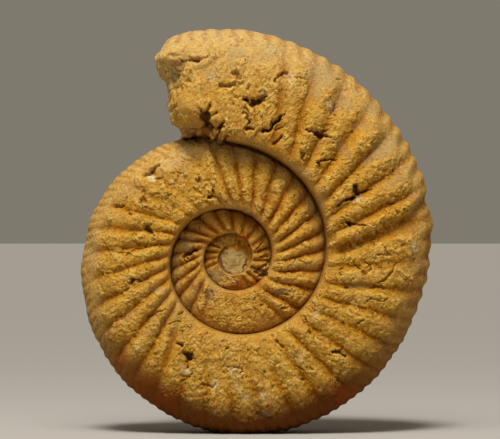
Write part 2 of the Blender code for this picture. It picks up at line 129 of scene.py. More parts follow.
# The main ribs rise within this share of the whorl's height, from the seam.
SMOOTH_DEG = (-240, -200, -60, 60, 90, 120, 225, 242, 290, 308, 380, 420)
SMOOTH_SHARE = (0.14, 0.34, 0.30, 0.14, 0.14, 0.07, 0.09, 0.75, 0.75, 0.20, 0.18, 0.12)

# Fine ribs, into which the main ribs split at the fork: their height in mm, how much of it they have at
# the fork and on the rim, and where each main rib splits into two instead of three.
FINE_DEG = (-640, 60, 100, 150, 200, 240, 330, 360, 385, 420, 440, 455, 480)
FINE_MM = (0.3, 0.3, 0.22, 0.22, 0.3, 0.5, 0.6, 0.8, 0.8, 0.65, 0.35, 0.15, 0.05)
FINE_ON_FLANK = 0.35
FINE_ON_RIM = 0.75
FINE_GROWS_SHARE = (0.86, 0.97)
FORK_SHARE = (0.80, 0.95)
TWO_FINE_FROM_DEG = (330, 345)

# The mask of grooves, which paints shade and rust into them: the height in mm of ribs whose grooves
# count as full ones, a power for those, and how deep it is in the fine grooves and in the growth stop.
FULL_GROOVE_MM = 0.9
GROOVE_POWER = 1.3
FINE_GROOVE = 0.75
STOP_GROOVE = 0.7

# How far a rib runs forward across the flank, in degrees against the share of whorl height.
LEAN_SHARE = (0.0, 0.1, 0.3, 0.55, 0.75, 0.9, 1.0)
LEAN_DEG = (-9.0, -6.5, -3.2, 0.0, 0.8, 2.5, 4.5)
LEAN_SCALE_DEG = (-640, -230, -190, -130, -90, 90, 160, 240, 290, 360, 378, 480)
LEAN_SCALE = (0.7, 1.0, 1.5, 1.5, 1.2, 1.2, 1.05, 1.0, 0.5, 0.5, 0.6, 0.6)

# The old growth stop: a wide smooth groove with a raised collar on its aperture side, off the seam, in
# which the ribs are flatter.
STOP_SHARE = (0.0, 0.2, 0.55, 0.92, 1.0)
STOP_DEG = (362.0, 365.0, 369.8, 374.6, 376.0)
STOP_HALF_DEG = 2.6
STOP_DEPTH_MM = 1.5
STOP_FLATTENS = 0.8
STOP_FROM_SHARE = 0.15
COLLAR_AFTER_DEG = 5.4
COLLAR_MM = 0.7

# The broken end: how far its edge lies behind END_DEG against the share of whorl height, and the last
# stretch of the whorl in which that is worked in, off the seam.
EDGE_SHARE = (0.0, 0.05, 0.16, 0.29, 0.39, 0.49, 0.55, 0.64, 0.69, 0.77, 0.83, 0.88, 0.95, 1.0)
EDGE_BACK_DEG = (0.3, 0.5, 0.8, 1.6, 2.2, 3.5, 2.8, 2.4, 2.8, 2.4, 2.5, 3.6, 5.2, 7.2)
EDGE_RUN_DEG = 30.0
EDGE_FROM_SHARE = 0.06

# The last stretch of the flanks turns towards the middle plane: by how much of the height over that
# plane, with which power of the way along, and how far off the seam.
EDGE_ROUND_DEG = 14.0
EDGE_ROUND = 0.42
EDGE_ROUND_POWER = 2.5
EDGE_ROUND_FROM_SHARE = 0.12

# The wall across the broken end: its bulge, its lumps, which are cut off at the top, its smaller lumps,
# how much crust it has, how far in from its edges it is calm, and its masks for the finish.
END_BULGE_MM = 1.3
END_BULGE_POWER = 0.6
WALL_ROWS = 110
WALL_LUMP_MM = 8.0
WALL_LUMP_HEIGHT_MM = 2.4
WALL_LUMP_TOP = 0.3
WALL_SMALL_MM = 2.5
WALL_SMALL_HEIGHT_MM = 0.5
WALL_CRUST = 0.8
WALL_CALM_ACROSS = 0.08
WALL_CALM_ALONG = 0.04
WALL_MASKS = {"share": 0.5, "turns": END_DEG / TURN, "groove": 0.2, "crust": 0.6, "crumb": 0.65,
              "white": 0.15, "pit": 0.0, "seam": 0.0, "ash": 0.0, "rust": 0.0}

# Lumps and hollows near the aperture end of the front flank: degrees, share of height, half length
# along the whorl in mm, half width in mm, turn in degrees, height in mm.
END_RELIEF = (
    (468.5, 0.76, 4.5, 3.4, 25, 1.4),
    (465.6, 0.35, 5.6, 7.6, 0, 2.3),
    (466.4, 0.27, 4.6, 4.6, 15, 1.1),
    (465.5, 0.09, 6.5, 2.4, 0, -2.2),
    (457.8, 0.17, 1.3, 4.0, -22, 0.8),
)

# Ovals: how far along the spiral one can reach in degrees, and how steep and how ragged its sides are.
OVAL_REACH_DEG = 24.0
OVAL_STEEPNESS = 1.6
OVAL_RAGGED_LOW = 0.4
END_RELIEF_RAGGED = 0.4

# Pits, slots, cracks and small lumps in the front flank, read off the photograph: half width in mm at
# the start and at the end, depth in mm (minus is a ridge), and the pixels that the stroke runs through.
STROKES = (
    (2.2, 3.6, 1.5, ((186, 60), (178, 70), (170, 81))),
    (1.3, 1.0, 2.0, ((182, 61), (190, 60), (198, 59.5))),
    (0.9, 0.3, 1.6, ((196, 60), (204, 58.5), (212, 56))),
    (1.8, 1.3, -1.3, ((161, 60), (170, 56), (179, 52))),
    (0.8, 0.3, 1.2, ((174, 57), (179, 54), (186, 47))),
    (1.5, 1.3, -0.9, ((176, 86), (186, 74), (200, 65), (212, 59))),
    (0.35, 0.25, 0.7, ((178, 52.5), (186.5, 46))),
    (0.6, 0.4, 0.9, ((181, 79), (185, 75))),
    (0.6, 0.4, 0.8, ((190, 80), (194, 82))),
    (0.7, 0.4, 1.0, ((176, 110), (183, 103))),
    (0.6, 1.2, 1.6, ((211, 104), (206, 116))),
    (1.4, 2.2, 3.2, ((207, 114), (203, 130))),
    (0.5, 0.3, 1.3, ((204, 118), (199, 112))),
    (0.7, 0.7, 1.4, ((226, 138), (222, 143))),
    (0.5, 0.9, 2.0, ((202.5, 110), (206, 117))),
    (1.0, 1.9, 2.6, ((190, 134), (208, 134))),
    (0.5, 0.5, 1.6, ((217, 112), (212, 118))),
    (1.2, 1.4, -1.3, ((215, 117), (212, 134))),
    (1.0, 0.9, -0.9, ((226, 126), (221.5, 138))),
    (0.6, 0.8, 2.2, ((224, 122.5), (219, 132), (216, 138))),
    (0.4, 0.4, 0.9, ((222, 132), (221.5, 138))),
    (1.3, 1.1, 0.8, ((241.5, 43), (246.5, 39.5))),
    (0.7, 0.5, 1.2, ((232, 72), (236.5, 77))),
    (0.9, 0.9, 1.4, ((236.5, 74), (240, 81))),
    (1.0, 0.9, 1.3, ((222, 87), (235, 86))),
    (0.6, 0.5, 1.1, ((236, 86.5), (243, 84))),
    (0.3, 0.3, 0.8, ((235, 89), (234, 95), (237, 98.5), (241, 97))),
    (1.0, 1.5, 2.4, ((246, 100), (253, 103))),
    (1.5, 1.0, 2.6, ((253, 102), (260, 101))),
    (1.0, 0.3, 1.6, ((260, 101), (267, 97.5))),
    (0.7, 0.4, 1.6, ((255, 104), (254, 110))),
    (0.35, 0.35, 1.0, ((244.5, 109), (248, 112.5))),
    (0.35, 0.3, 1.0, ((242, 114), (249, 118))),
    (0.4, 0.4, 1.3, ((247, 119), (250, 122), (247.5, 126))),
    (0.8, 0.8, 2.0, ((248.5, 129), (251.5, 130))),
    (1.0, 1.0, 2.8, ((263, 131), (269, 130.5))),
    (1.2, 0.4, 2.4, ((269, 130), (276, 122), (283.5, 116))),
    (0.5, 0.3, 1.4, ((270.5, 128), (270.5, 121))),
    (0.5, 0.3, 1.2, ((275, 131), (286, 128.5))),
    (0.6, 0.5, 1.6, ((274, 145), (283, 136.5))),
    (0.4, 0.4, 0.8, ((277, 53), (281, 54), (282, 57))),
    (0.7, 0.5, 1.3, ((276, 83), (279, 76))),
    (0.6, 0.5, 1.3, ((279, 75), (286, 73.5))),
    (0.5, 0.25, 1.1, ((295, 78), (307, 79.7))),
    (0.5, 0.5, 0.8, ((288, 77), (292, 83))),
    (0.3, 0.3, 0.7, ((285, 97), (288, 106))),
    (0.5, 0.9, 1.6, ((309, 130), (316, 134))),
    (1.2, 1.2, 2.6, ((316, 133), (319.5, 138))),
    (0.8, 0.25, 2.0, ((319, 138), (332, 137.3))),
    (0.6, 0.25, 1.4, ((317, 134), (328, 129))),
    (0.5, 0.4, 1.2, ((335.5, 105), (335.5, 116))),
    (0.5, 0.4, 0.7, ((339.5, 80.5), (342.5, 80.5))),
    (0.7, 0.6, 1.6, ((303, 153), (303, 160))),
    (0.5, 0.5, 1.0, ((352, 131.5), (353.5, 134))),
    (0.7, 0.6, 1.8, ((318, 168), (320.5, 160.5))),
    (0.6, 0.25, 1.5, ((320, 161), (337, 160))),
    (0.9, 0.9, 2.4, ((354, 187.5), (357, 194))),
    (0.7, 0.3, 1.4, ((357, 193.5), (371, 190.5))),
    (0.6, 0.8, 2.0, ((339.5, 206), (345, 199.5))),
    (1.0, 0.8, 2.2, ((345, 199.5), (353, 198))),
    (0.5, 0.7, 1.5, ((353, 199), (354, 193))),
    (0.9, 0.9, 0.8, ((380, 172), (385, 170))),
    (0.6, 0.7, 2.0, ((347.5, 221), (353, 224.5))),
    (0.6, 0.25, 1.6, ((353, 224.5), (364, 226))),
    (0.25, 0.25, 0.8, ((341, 217), (346, 219.5))),
    (0.4, 0.3, 0.8, ((341.5, 223.5), (343.5, 224.5))),
    (0.35, 0.3, 0.9, ((387, 205.5), (394, 203.5))),
    (0.5, 0.4, 1.0, ((397.5, 212), (398.5, 215))),
    (0.25, 0.25, 0.6, ((403, 209.5), (405, 213), (403, 216))),
    (0.3, 0.3, 0.7, ((402, 161), (402, 166))),
    (0.25, 0.25, 0.9, ((353.6, 261.5), (355.7, 265.7), (360, 270))),
    (0.25, 0.25, 0.9, ((362, 271.4), (365.7, 273.6), (368.6, 271.4), (367.5, 267), (370, 266))),
    (0.22, 0.22, 0.8, ((365.7, 263), (367.9, 267))),
    (0.25, 0.25, 0.9, ((378, 255), (383, 254.3), (387, 256.4), (389.3, 253.6), (385.7, 251.4),
                       (384.3, 245.7))),
    (0.3, 0.25, 0.9, ((338.6, 275), (339.3, 271.4), (342, 269))),
    (0.5, 0.4, 1.2, ((381, 284), (388.6, 276.4))),
    (0.4, 0.25, 1.0, ((388.6, 276.4), (391.4, 271.4), (395, 265.7))),
    (0.6, 0.5, 1.1, ((344.5, 288), (347.5, 289))),
    (0.3, 0.3, 0.8, ((371, 291), (377, 287), (383, 289))),
    (0.3, 0.25, 0.7, ((366, 302), (373, 297), (380, 300), (386, 297))),
    (0.45, 0.4, 1.0, ((415.5, 262), (417, 259))),
    (0.5, 1.0, 1.9, ((143, 177), (151.5, 172))),
    (0.9, 0.3, 2.0, ((151.5, 172), (160, 165))),
    (0.4, 0.3, 0.9, ((155.7, 179), (163, 177.5))),
    (0.7, 0.7, 1.3, ((140, 199.5), (144.5, 202.5))),
    (0.3, 0.3, 0.6, ((141, 194), (144, 193))),
    (0.5, 0.6, 1.1, ((113.5, 208), (122, 205.7))),
    (0.5, 0.3, 0.7, ((123, 205), (127, 199))),
    (0.7, 0.7, 1.0, ((129.5, 212.5), (133, 214.5))),
    (1.0, 1.0, 1.7, ((146, 228), (149.5, 231.5))),
    (0.5, 0.4, 1.0, ((148, 231), (149.5, 226))),
    (0.3, 0.5, 0.9, ((142.5, 225), (146.5, 229))),
    (0.25, 0.22, 0.8, ((133, 240), (137, 243), (142, 240.3))),
    (0.35, 0.35, 0.9, ((154, 235.5), (155.5, 237.5))),
    (0.6, 0.7, 0.8, ((106, 245), (109.5, 253))),
    (1.0, 0.8, 2.0, ((210, 196.5), (214, 197))),
    (0.6, 0.25, 1.4, ((213.5, 195), (215, 189))),
    (0.45, 0.3, 1.1, ((196, 180), (199, 182), (201, 177.5))),
    (0.3, 0.3, 0.7, ((174, 174), (178, 172), (181, 173.5))),
    (0.3, 0.3, 0.7, ((175, 183), (179, 180.5), (179, 176))),
    (0.5, 0.7, 0.8, ((166.5, 201.5), (169, 195))),
    (0.35, 0.3, 0.8, ((146.5, 206), (150.7, 209))),
    (0.5, 0.4, 0.9, ((157, 257), (162, 258.6))),
    (0.35, 0.3, 0.8, ((144, 268), (146, 270))),
    (0.3, 0.3, 0.6, ((113, 253), (127, 253), (137, 248.6), (148, 246.5), (160, 245.7))),
    (0.8, 0.6, 1.9, ((130.5, 282), (139, 280.5))),
    (0.6, 0.9, 2.0, ((177, 344), (181.5, 345))),
    (1.1, 1.0, 2.4, ((185.5, 354), (191, 359.5))),
    (0.7, 0.4, 1.6, ((188, 362), (187.5, 369))),
    (0.3, 0.3, 0.9, ((181, 376), (187, 378), (191.5, 374.6))),
    (0.5, 0.5, 1.3, ((202, 384.5), (205, 387))),
    (0.6, 0.5, 1.3, ((207.5, 387), (212, 388.5))),
    (0.5, 0.3, 0.9, ((151, 314.5), (156, 314), (164.6, 310.8))),
    (0.4, 0.3, 0.8, ((180, 313), (184.6, 311.5))),
    (0.35, 0.3, 0.7, ((171.5, 325.5), (179, 322))),
    (0.6, 0.6, 1.4, ((227.5, 349), (229.5, 348))),
    (0.3, 0.3, 0.7, ((223, 341.5), (227, 342))),
    (0.4, 0.4, 0.6, ((155, 353), (157, 355))),
    (0.35, 0.3, 0.9, ((228, 367.5), (235, 366.5), (242, 368.5))),
    (0.35, 0.3, 0.9, ((239, 375), (243, 371))),
    (0.7, 0.7, 1.4, ((277.7, 344.6), (284, 345.5))),
    (0.6, 0.6, 1.3, ((306.5, 333), (309, 333))),
    (0.5, 0.9, 1.8, ((334.6, 353.8), (339, 352.3))),
    (0.9, 0.4, 1.8, ((339, 352.3), (344.6, 357.7))),
    (0.4, 0.6, 1.4, ((341.5, 348.5), (340.5, 352))),
    (0.5, 0.3, 1.1, ((357.7, 322.3), (364.6, 321.5))),
    (0.5, 0.5, 0.9, ((384.5, 344), (386.5, 345.5))),
    (0.3, 0.3, 0.8, ((300, 368.5), (303, 371))),
    (0.3, 0.3, 0.8, ((311.5, 367), (314, 369))),
    (0.35, 0.35, 0.7, ((296, 379), (303, 381))),
    (0.8, 0.7, 1.0, ((261, 416), (271.5, 417))),
    (0.4, 0.3, 0.8, ((306, 318.5), (307.7, 321.5))),
    (0.4, 0.4, 0.8, ((283.5, 301), (285, 303))),
    (0.6, 0.6, 1.2, ((282, 308), (286, 307))),
    (0.6, 0.5, 0.9, ((274.6, 293.8), (287.7, 296))),
    (0.6, 0.5, 1.0, ((270, 219), (278, 213))),
    (0.5, 0.5, 0.8, ((295, 258), (299, 260))),
    (0.9, 0.6, 1.9, ((183, 257), (190, 253.5), (196, 251))),
    (0.3, 0.6, 1.2, ((260, 258.5), (268, 256.5))),
    (0.4, 0.7, 1.3, ((259, 267), (268.5, 265))),
    (0.4, 0.8, 1.3, ((254, 273), (266, 275))),
    (0.3, 0.5, 1.0, ((257, 247), (265, 239))),
    (0.35, 0.5, 1.0, ((259, 252.5), (267, 248))),
    (0.35, 0.35, 0.6, ((212, 303), (214, 292))),
)

# Strokes: the sides of a pit and of a ridge against the half width, how ragged and how bent they are,
# how deep a pit can be at the seam, how much deeper a whole height above it, and where pits and ridges
# fade out towards the rim.
STROKE_SIDE = (0.1, 1.35)
STROKE_RAGGED = 0.5
RIDGE_STEEPNESS = 1.2
STROKE_BEND_MM = 0.8
STROKE_BEND_SIZE_MM = 2.6
PIT_AT_SEAM_MM = 1.0
PIT_DEEPENS_MM = 20
OFF_RIM_SHARE = (0.90, 0.98)

# Patches of another colour on the front flank, read off the photograph, among them one of painted light
# and one of painted shade: pixel, half width and half height in pixels, turn in degrees, strength.
WHITE_AND_LIT_PATCHES = (
    (151, 178, 2.2, 4.6, 20, 1.0), (414, 247, 2.4, 4.4, 15, 1.0), (357, 238.6, 2.6, 2.0, 0, 0.8),
    (186, 372, 5.0, 4.0, 0, 0.6), (215, 385, 4.5, 4.0, 0, 0.6), (233, 371, 5.0, 4.5, 0, 0.5),
    (291, 80, 3.5, 5.0, 0, 0.45), (212, 80, 2.2, 3.6, 0, 0.6), (331, 107, 3.2, 2.6, 0, 0.6),
    (300, 357, 5.0, 5.0, 0, 0.3), (238, 387, 4.0, 4.0, 0, 0.4), (245, 396, 3.0, 3.0, 0, 0.4),
    (265, 397, 3.0, 2.5, 0, 0.4), (231, 279, 3.0, 1.3, -50, 0.8), (359, 199, 3.0, 1.6, 0, 0.6),
    # The patch at pixel (174, 160) is painted light over the place that the broken end shades.
    (160, 290, 6.0, 3.5, -20, 0.2), (140, 350, 4.0, 5.0, 0, 0.15), (174, 160, 17.0, 8.0, 25, 0.28),
    (169, 74, 5.0, 9.0, 20, 0.35),
    (316, 314, 4.0, 3.0, 0, 0.4), (270, 50, 5.0, 3.0, 0, 0.2),
)
ASH_PATCHES = (
    (238, 53, 9, 6, 0, 0.7), (268, 52, 9, 7, 0, 0.6), (325, 75, 13, 14, 30, 0.75),
    (318, 93, 6, 6, 0, 0.7), (345, 104, 7, 10, 30, 0.6), (386, 148, 15, 7, 40, 0.95),
    (372, 108, 5, 6, 0, 0.7), (364, 127, 9, 4, -10, 0.5), (344, 150, 5, 9, 30, 0.6),
    (263, 93, 2.5, 3.5, 0, 0.9), (213, 75, 5, 7, 0, 0.5), (129, 192, 9, 7, 0, 0.45),
    (92, 252, 4, 16, 0, 0.5), (370, 160, 8, 4, 40, 0.6), (392, 182, 12, 4, 30, 0.5),
    (360, 300, 9, 3, 0, 0.4), (357, 286, 8, 3, 0, 0.5), (150, 330, 8, 4, 40, 0.4),
    (128, 318, 10, 4, 40, 0.5), (245, 155, 14, 6, 0, 0.45), (187, 246, 5, 6, 0, 0.6),
    (318, 205, 7, 10, -30, 0.5), (300, 265, 14, 3, 0, 0.4), (280, 292, 9, 3, 10, 0.7),
    (197, 290, 4, 5, 0, 0.4), (212, 297, 3, 8, 10, 0.6), (262, 398, 12, 8, 0, 0.3),
    (335, 110, 2, 7, 0, 0.9), (266, 416, 7, 3, 0, 0.8), (217, 276, 7, 7, -30, 0.9),
)
RUST_AND_SHADE_PATCHES = (
    (246, 238, 6, 4, 30, 0.9), (237, 216, 8, 6, 0, 0.6), (252, 222, 5, 8, 20, 0.8),
    (205, 243, 7, 2.5, -20, 0.8), (195, 250, 6, 2.5, 20, 0.9), (207, 232, 15, 9, 30, 0.45),
    (262, 251, 6, 2.5, -20, 0.6), (254, 283, 9, 3, -20, 0.7),
    (210, 258, 4, 9, 0, 0.5), (196, 262, 9, 1.6, -35, 0.6), (201, 288, 2, 7, 15, 0.8),
    (192, 285, 2, 6, 30, 0.7), (276, 205, 10, 5, -35, 0.6), (142, 385, 16, 10, 45, 0.35),
    (165, 398, 18, 9, 35, 0.4), (120, 362, 7, 8, 0, 0.5), (430, 240, 3, 18, 0, 0.4),
    # The patch at pixel (204, 136) is painted shade under the lobe at the broken end, with some red-brown
    # of its own.
    (204, 136, 12, 6, 0, 0.35), (240, 285, 10, 4, 10, 0.7), (259, 250, 9, 14, 0, 0.15),
    (418, 285, 8, 20, -15, 0.35), (345, 395, 18, 8, -25, 0.45),
)


# Patches: their sides against the square of the way out, and how ragged they can be.
PATCH_SIDE = (0.1, 2.2)
PATCH_RAGGED_LOW = 0.3

# Pits in the back flank, which the front's are no guide to, listed as END_RELIEF is.
BACK_PITS = (
    (128.0, 0.42, 2.0, 1.2, 20, 1.5),
    (171.0, 0.62, 1.4, 1.0, -20, 1.3),
    (209.0, 0.35, 1.8, 1.1, 30, 1.5),
    (252.0, 0.52, 2.4, 1.2, -15, 1.8),
    (296.0, 0.40, 1.5, 1.2, 10, 1.4),
    (327.0, 0.66, 1.8, 0.9, 25, 1.2),
    (356.0, 0.33, 2.2, 1.4, -30, 1.8),
    (392.0, 0.50, 2.8, 1.3, 25, 2.0),
    (411.0, 0.28, 2.2, 1.5, -25, 1.9),
    (431.0, 0.55, 3.0, 1.5, 30, 2.2),
    (447.0, 0.34, 3.4, 1.6, 15, 2.6),
    (459.0, 0.62, 2.6, 1.4, -20, 2.2),
    (464.0, 0.20, 2.4, 2.6, 10, 2.6),
    (60.0, 0.50, 1.2, 1.5, 0, 1.0),
)

# Uneven relief of the worn stone: size and height of the lumps in mm, and the share at the seam where
# all relief starts.
LUMP_MM = 9.0
LUMP_HEIGHT_MM = 0.45
CRUST_MM = 3.2
CRUST_HEIGHT_MM = 0.22
OFF_SEAM_SHARE = 0.035

# Random fields: points to a side of their lattice, a shift in mm that keeps places positive, the part of
# each box in which cells put their point, a distance larger than any that is measured, and the least
# length that anything is divided by.
LATTICE = 64
LATTICE_SHIFT_MM = 500.0
CELL_SCATTER = (0.1, 0.9)
FAR = 9.0
TINY = 1e-9

# Ragged edges of pits and patches: strength, size in mm and octaves of two rough fields.
RAGGED = ((0.8, 2.2, 2), (0.9, 0.9, 2))

# Seeds of the random fields. A field with several octaves uses the numbers after its own too.
SEEDS = {
    "rib heights": 5,
    "uneven ribs": 221,
    "lumps": 11,
    "low crust": 12,
    "ragged": (201, 211),
    "stroke bend": (241, 251, 261),
    "crust patches": 231,
    "crumb bend": (301, 311, 321),
    "crumbs": 71,
    "small crumbs": 72,
    "holes": 73,
    "crevices": 75,
    "ragged holes": 76,
    "wall lumps": 401,
    "wall small lumps": 411,
    "plug edge": 501,
    "plug level": 511,
    "plug grains": 521,
    "plug hollows": 531,
    "plug crack": 541,
}

# Crumbly crust on the flank, in mm: its thickness, its crumbs and the crevices between them, and its
# holes. An edge is a share of the crumb's size.
CRUST_THICK_MM = 0.45
CRUMB_MM = 1.9
CRUMB_HEIGHT_MM = 0.50
CRUMB_EDGE = 0.3
CRUMB_BEND_MM = 0.7
CRUMB_BEND_SIZE_MM = 2.4
CREVICE_MM = 0.30
CREVICE_EDGE = 0.16
CREVICE_PATCH_MM = 3.5
CREVICE_MORE = 0.35
CREVICE_PATCH_SIDE = 0.5
CREVICE_MASK = 0.6
SMALL_CRUMB_MM = 0.9
SMALL_CRUMB_HEIGHT_MM = 0.34
SMALL_CRUMB_EDGE = 0.25
SANDY_SHARE = 0.45
HOLE_MM = 3.1
HOLE_RADIUS_MM = 0.55
HOLE_DEEP_MM = 0.7
HOLE_SIDE = (0.4, 1.1)
HOLE_RAGGED = 0.5
HOLE_RAGGED_MM = 0.8
NO_HOLE_SHARE = 0.72

# How a crumb stands in its mask, for painted shade on low crumbs and painted highlight on high ones: by
# its own level, by that of the small one on it, and how much of that is left where there is no crust.
STANDS_BY_CRUMB = 0.7
STANDS_BY_SMALL = 0.5
STANDS_BARE = 0.4

# How much of the flank the crust covers: along the spiral, across the whorl, less in the grooves, more
# on one side of each rib past some degrees, and in patches. Its cover and its step in height start
# where the sum passes these values.
CRUSTED_DEG = (-640, -150, -115, -60, -40, 40, 80, 112, 150, 165, 235, 250, 330, 350, 380, 400, 452,
               461, 472)
CRUSTED = (0.1, 0.15, 0.6, 0.6, 0.35, 0.45, 0.6, 0.5, 0.48, 0.42, 0.45, 0.85, 0.85, 0.6, 0.52, 0.52, 0.62,
           0.1, 0.0)
CRUSTED_LESS = 0.62
CRUSTED_SHARE = (0.0, 0.08, 0.2, 0.62, 0.8, 0.9, 1.0)
CRUSTED_ACROSS = (-0.6, -0.3, 0.35, 0.35, -0.1, -0.8, -1.4)
GROOVE_BARE = 0.45
GROOVE_MIDDLING = 0.4
CRUMBLY_SIDE = 0.28
CRUMBLY_SIDE_DEG = (280, 310)
CRUST_PATCH_MM = 6.0
CRUST_PATCHY = 0.55
COVER_SIDE = (-0.10, 0.16)
CRUST_STEP = (-0.02, 0.08)

# Masks for painted shade in pits, holes, crevices and seams: the depth in mm that counts as a full pit
# and what is taken off, how much a hole counts, and the share of height where the seam's shade ends.
FULL_PIT_MM = 1.7
SHALLOW_PIT = 0.2
HOLE_MASK = 0.45
SEAM_SHADE_SHARE = 0.025

# Plug of matrix in the umbilicus, off the spiral's axis: its level over the middle plane, where the
# first whorl has risen from it, and its edge, which a crack follows below and small hollows, painted as
# shade only, follow above. Pairs in mm are the size and height of a field, or the width and depth of a
# crack or a slope.
PLUG_X_MM = 0.4
PLUG_Z_MM = -0.8
PLUG_LEVEL_MM = 3.2
PLUG_MERGE_DEG = 70.0
PLUG_RADIUS_MM = 4.85
PLUG_RINGS = 60
PLUG_STEPS = 420
PLUG_RING_POWER = 0.8
PLUG_EDGE_MM = (2.4, 1.0)
PLUG_LUMP_MM = (4.0, 0.5)
PLUG_GRAIN_MM = (1.1, 0.13)
PLUG_OUTSIDE_MM = (2.0, 0.5)
PLUG_HOLD = 0.35
PLUG_UPPER = (0.1, 0.5)
PLUG_CRACK_MM = (0.22, 0.8)
PLUG_CRACK_PATCH_MM = 3.0
PLUG_CRACK_PATCH_SIDE = (-0.5, 0.0)
PLUG_HOLLOW_MM = 1.6
PLUG_HOLLOW_SIDE = (0.15, 0.6)
PLUG_HOLLOW_MASK = 0.7
PLUG_INSIDE_MM = (-0.6, 1.2)
PLUG_INSIDE_UP = 1.5

# Height of the spiral's axis over the floor.
AXIS_HEIGHT_MM = 59.0

# How far the middle of the solid's box lies in front of the shell's middle plane, and the depth of the
# layer under the box's front and back in which higher relief is drawn in.
FRONT_FULLER_MM = 0.44
SIDE_LAYER_MM = 1.3

# The photograph: its size in pixels, its scale, the column of the camera, of the object's middle and of
# the spiral's axis, and the row at the camera's height and of the floor.
PHOTO_WIDTH = 500
PHOTO_HEIGHT = 439
MM_PER_PIXEL = 0.338
VIEW_X_PIXEL = 250.0
OBJECT_X_PIXEL = 257.0
AXIS_X_PIXEL = 232.5
VIEW_Y_PIXEL = 231.0
FLOOR_Y_PIXEL = 432.3
VIEW_X_MM = (VIEW_X_PIXEL - OBJECT_X_PIXEL) * MM_PER_PIXEL
AXIS_X_MM = (AXIS_X_PIXEL - OBJECT_X_PIXEL) * MM_PER_PIXEL
VIEW_HEIGHT_MM = (FLOOR_Y_PIXEL - VIEW_Y_PIXEL) * MM_PER_PIXEL

# The camera: its distance from the middle plane in m, how much nearer the flank is, and its sensor.
CAMERA_AWAY = 1.0
FLANK_NEARER_MM = 16.0
SENSOR_MM = 36.0

# The studio, in m, watts and degrees.
FLOOR_SIZE = 30.0
FLOOR_COLOUR = (0.43, 0.41, 0.38, 1.0)
ROOM_COLOUR = (0.97, 0.88, 0.72, 1.0)
ROOM_STRENGTH = 0.22
LIGHT_COLOUR = (1.0, 0.97, 0.92)
KEY_STRENGTH = 2.35
KEY_WIDTH_DEG = 14.0
KEY_TURN_DEG = (28.0, -5.0, 0.0)
LAMP_STRENGTH = 1.1
LAMP_SIZE = 0.30
LAMP_PLACE = (-0.04, -0.22, 0.42)
LAMP_TURN_DEG = (34.0, 0.0, 0.0)
CAMERA_TURN_DEG = (90.0, 0.0, 0.0)


def through(stations, values, at):
    """Smooth curve through the stations, from cubic pieces that share their slopes."""
    x = np.asarray(stations, float)
    y = np.asarray(values, float)
    slope = np.gradient(y, x)
    k = np.clip(np.searchsorted(x, at) - 1, 0, len(x) - 2)
    width = x[k + 1] - x[k]
    u = np.clip((at - x[k]) / width, 0.0, 1.0)
    near = (1 + 2 * u) * (1 - u) ** 2 * y[k] + u * (1 - u) ** 2 * width * slope[k]
    far = u * u * (3 - 2 * u) * y[k + 1] - u * u * (1 - u) * width * slope[k + 1]
    return near + far


def step(low, high, value):
    """Smooth step from 0 at low to 1 at high."""
    u = np.clip((value - low) / (high - low), 0.0, 1.0)
    return u * u * (3 - 2 * u)


def grain(points, size, seed):
    """Smooth random field between -1 and 1: random lattice values, blended between lattice points."""
    lattice = np.random.default_rng(seed).uniform(-1, 1, (LATTICE, LATTICE, LATTICE))
    cell = (points + LATTICE_SHIFT_MM) / size
    low = np.floor(cell).astype(int)
    part = cell - low
    part = part * part * (3 - 2 * part)
    total = np.zeros(points.shape[:-1])
    for corner in product((0, 1), repeat=3):
        spot = (low + np.array(corner)) % LATTICE
        weight = np.prod(np.where(corner, part, 1 - part), axis=-1)
        total += weight * lattice[spot[..., 0], spot[..., 1], spot[..., 2]]
    return total


def rough(points, size, seed, octaves=3):
    """Random field with detail at several sizes: each octave is half as large and half as strong."""
    total = np.zeros(points.shape[:-1])
    for k in range(octaves):
        total += 0.5 ** k * grain(points, size / 2 ** k, seed + k)
    return total


def bending(points, size, seeds):
    """Random shift of each point in x, y and z: one rough field for each."""
    return np.stack([rough(points, size, seed) for seed in seeds], axis=-1)


def cells(points, size, seed):
    """Distances to the nearest and second nearest of scattered points, and the nearest one's number.

    The points are scattered one to each box of a lattice. Distances are in box widths.
    """
    rng = np.random.default_rng(seed)
    scattered = rng.uniform(*CELL_SCATTER, (LATTICE, LATTICE, LATTICE, 3))
    numbers = rng.uniform(0, 1, (LATTICE, LATTICE, LATTICE))
    cell = (points + LATTICE_SHIFT_MM) / size
    low = np.floor(cell).astype(int)
    nearest = np.full(points.shape[:-1], FAR)
    second = nearest.copy()
    number = np.zeros(points.shape[:-1])
    for corner in product((-1, 0, 1), repeat=3):
        box = low + np.array(corner)
        wrapped = box % LATTICE
        at = (wrapped[..., 0], wrapped[..., 1], wrapped[..., 2])
        away = np.linalg.norm(box + scattered[at] - cell, axis=-1)
        closer = away < nearest
        second = np.where(closer, nearest, np.minimum(second, away))
        number = np.where(closer, numbers[at], number)
        nearest = np.where(closer, away, nearest)
    return nearest, second, number


def seam_radius(deg):
    """Distance in mm from the axis to the seam on the whorl's inside."""
    return through(SEAM_DEG, SEAM_MM, deg)


def rim_radius(deg):
    """Distance in mm from the axis to the middle of the whorl's rim."""
    return through(RIM_DEG, RIM_MM, deg)


def half_thickness(deg):
    """Distance in mm from the middle plane to the widest place of the whorl's flank."""
    return through(THICK_DEG, THICK_MM, deg)


def whorl_height(deg):
    """Distance in mm from the seam to the middle of the rim."""
    return rim_radius(deg) - seam_radius(deg)


def covered_share(deg):
    """Share of the whorl's height at which the next whorl covers it, or would."""
    return (seam_radius(deg + TURN) - seam_radius(deg)) / whorl_height(deg)


def radius_at(deg, share):
    """Distance in mm from the axis at a share of the whorl's height."""
    return seam_radius(deg) + share * whorl_height(deg)


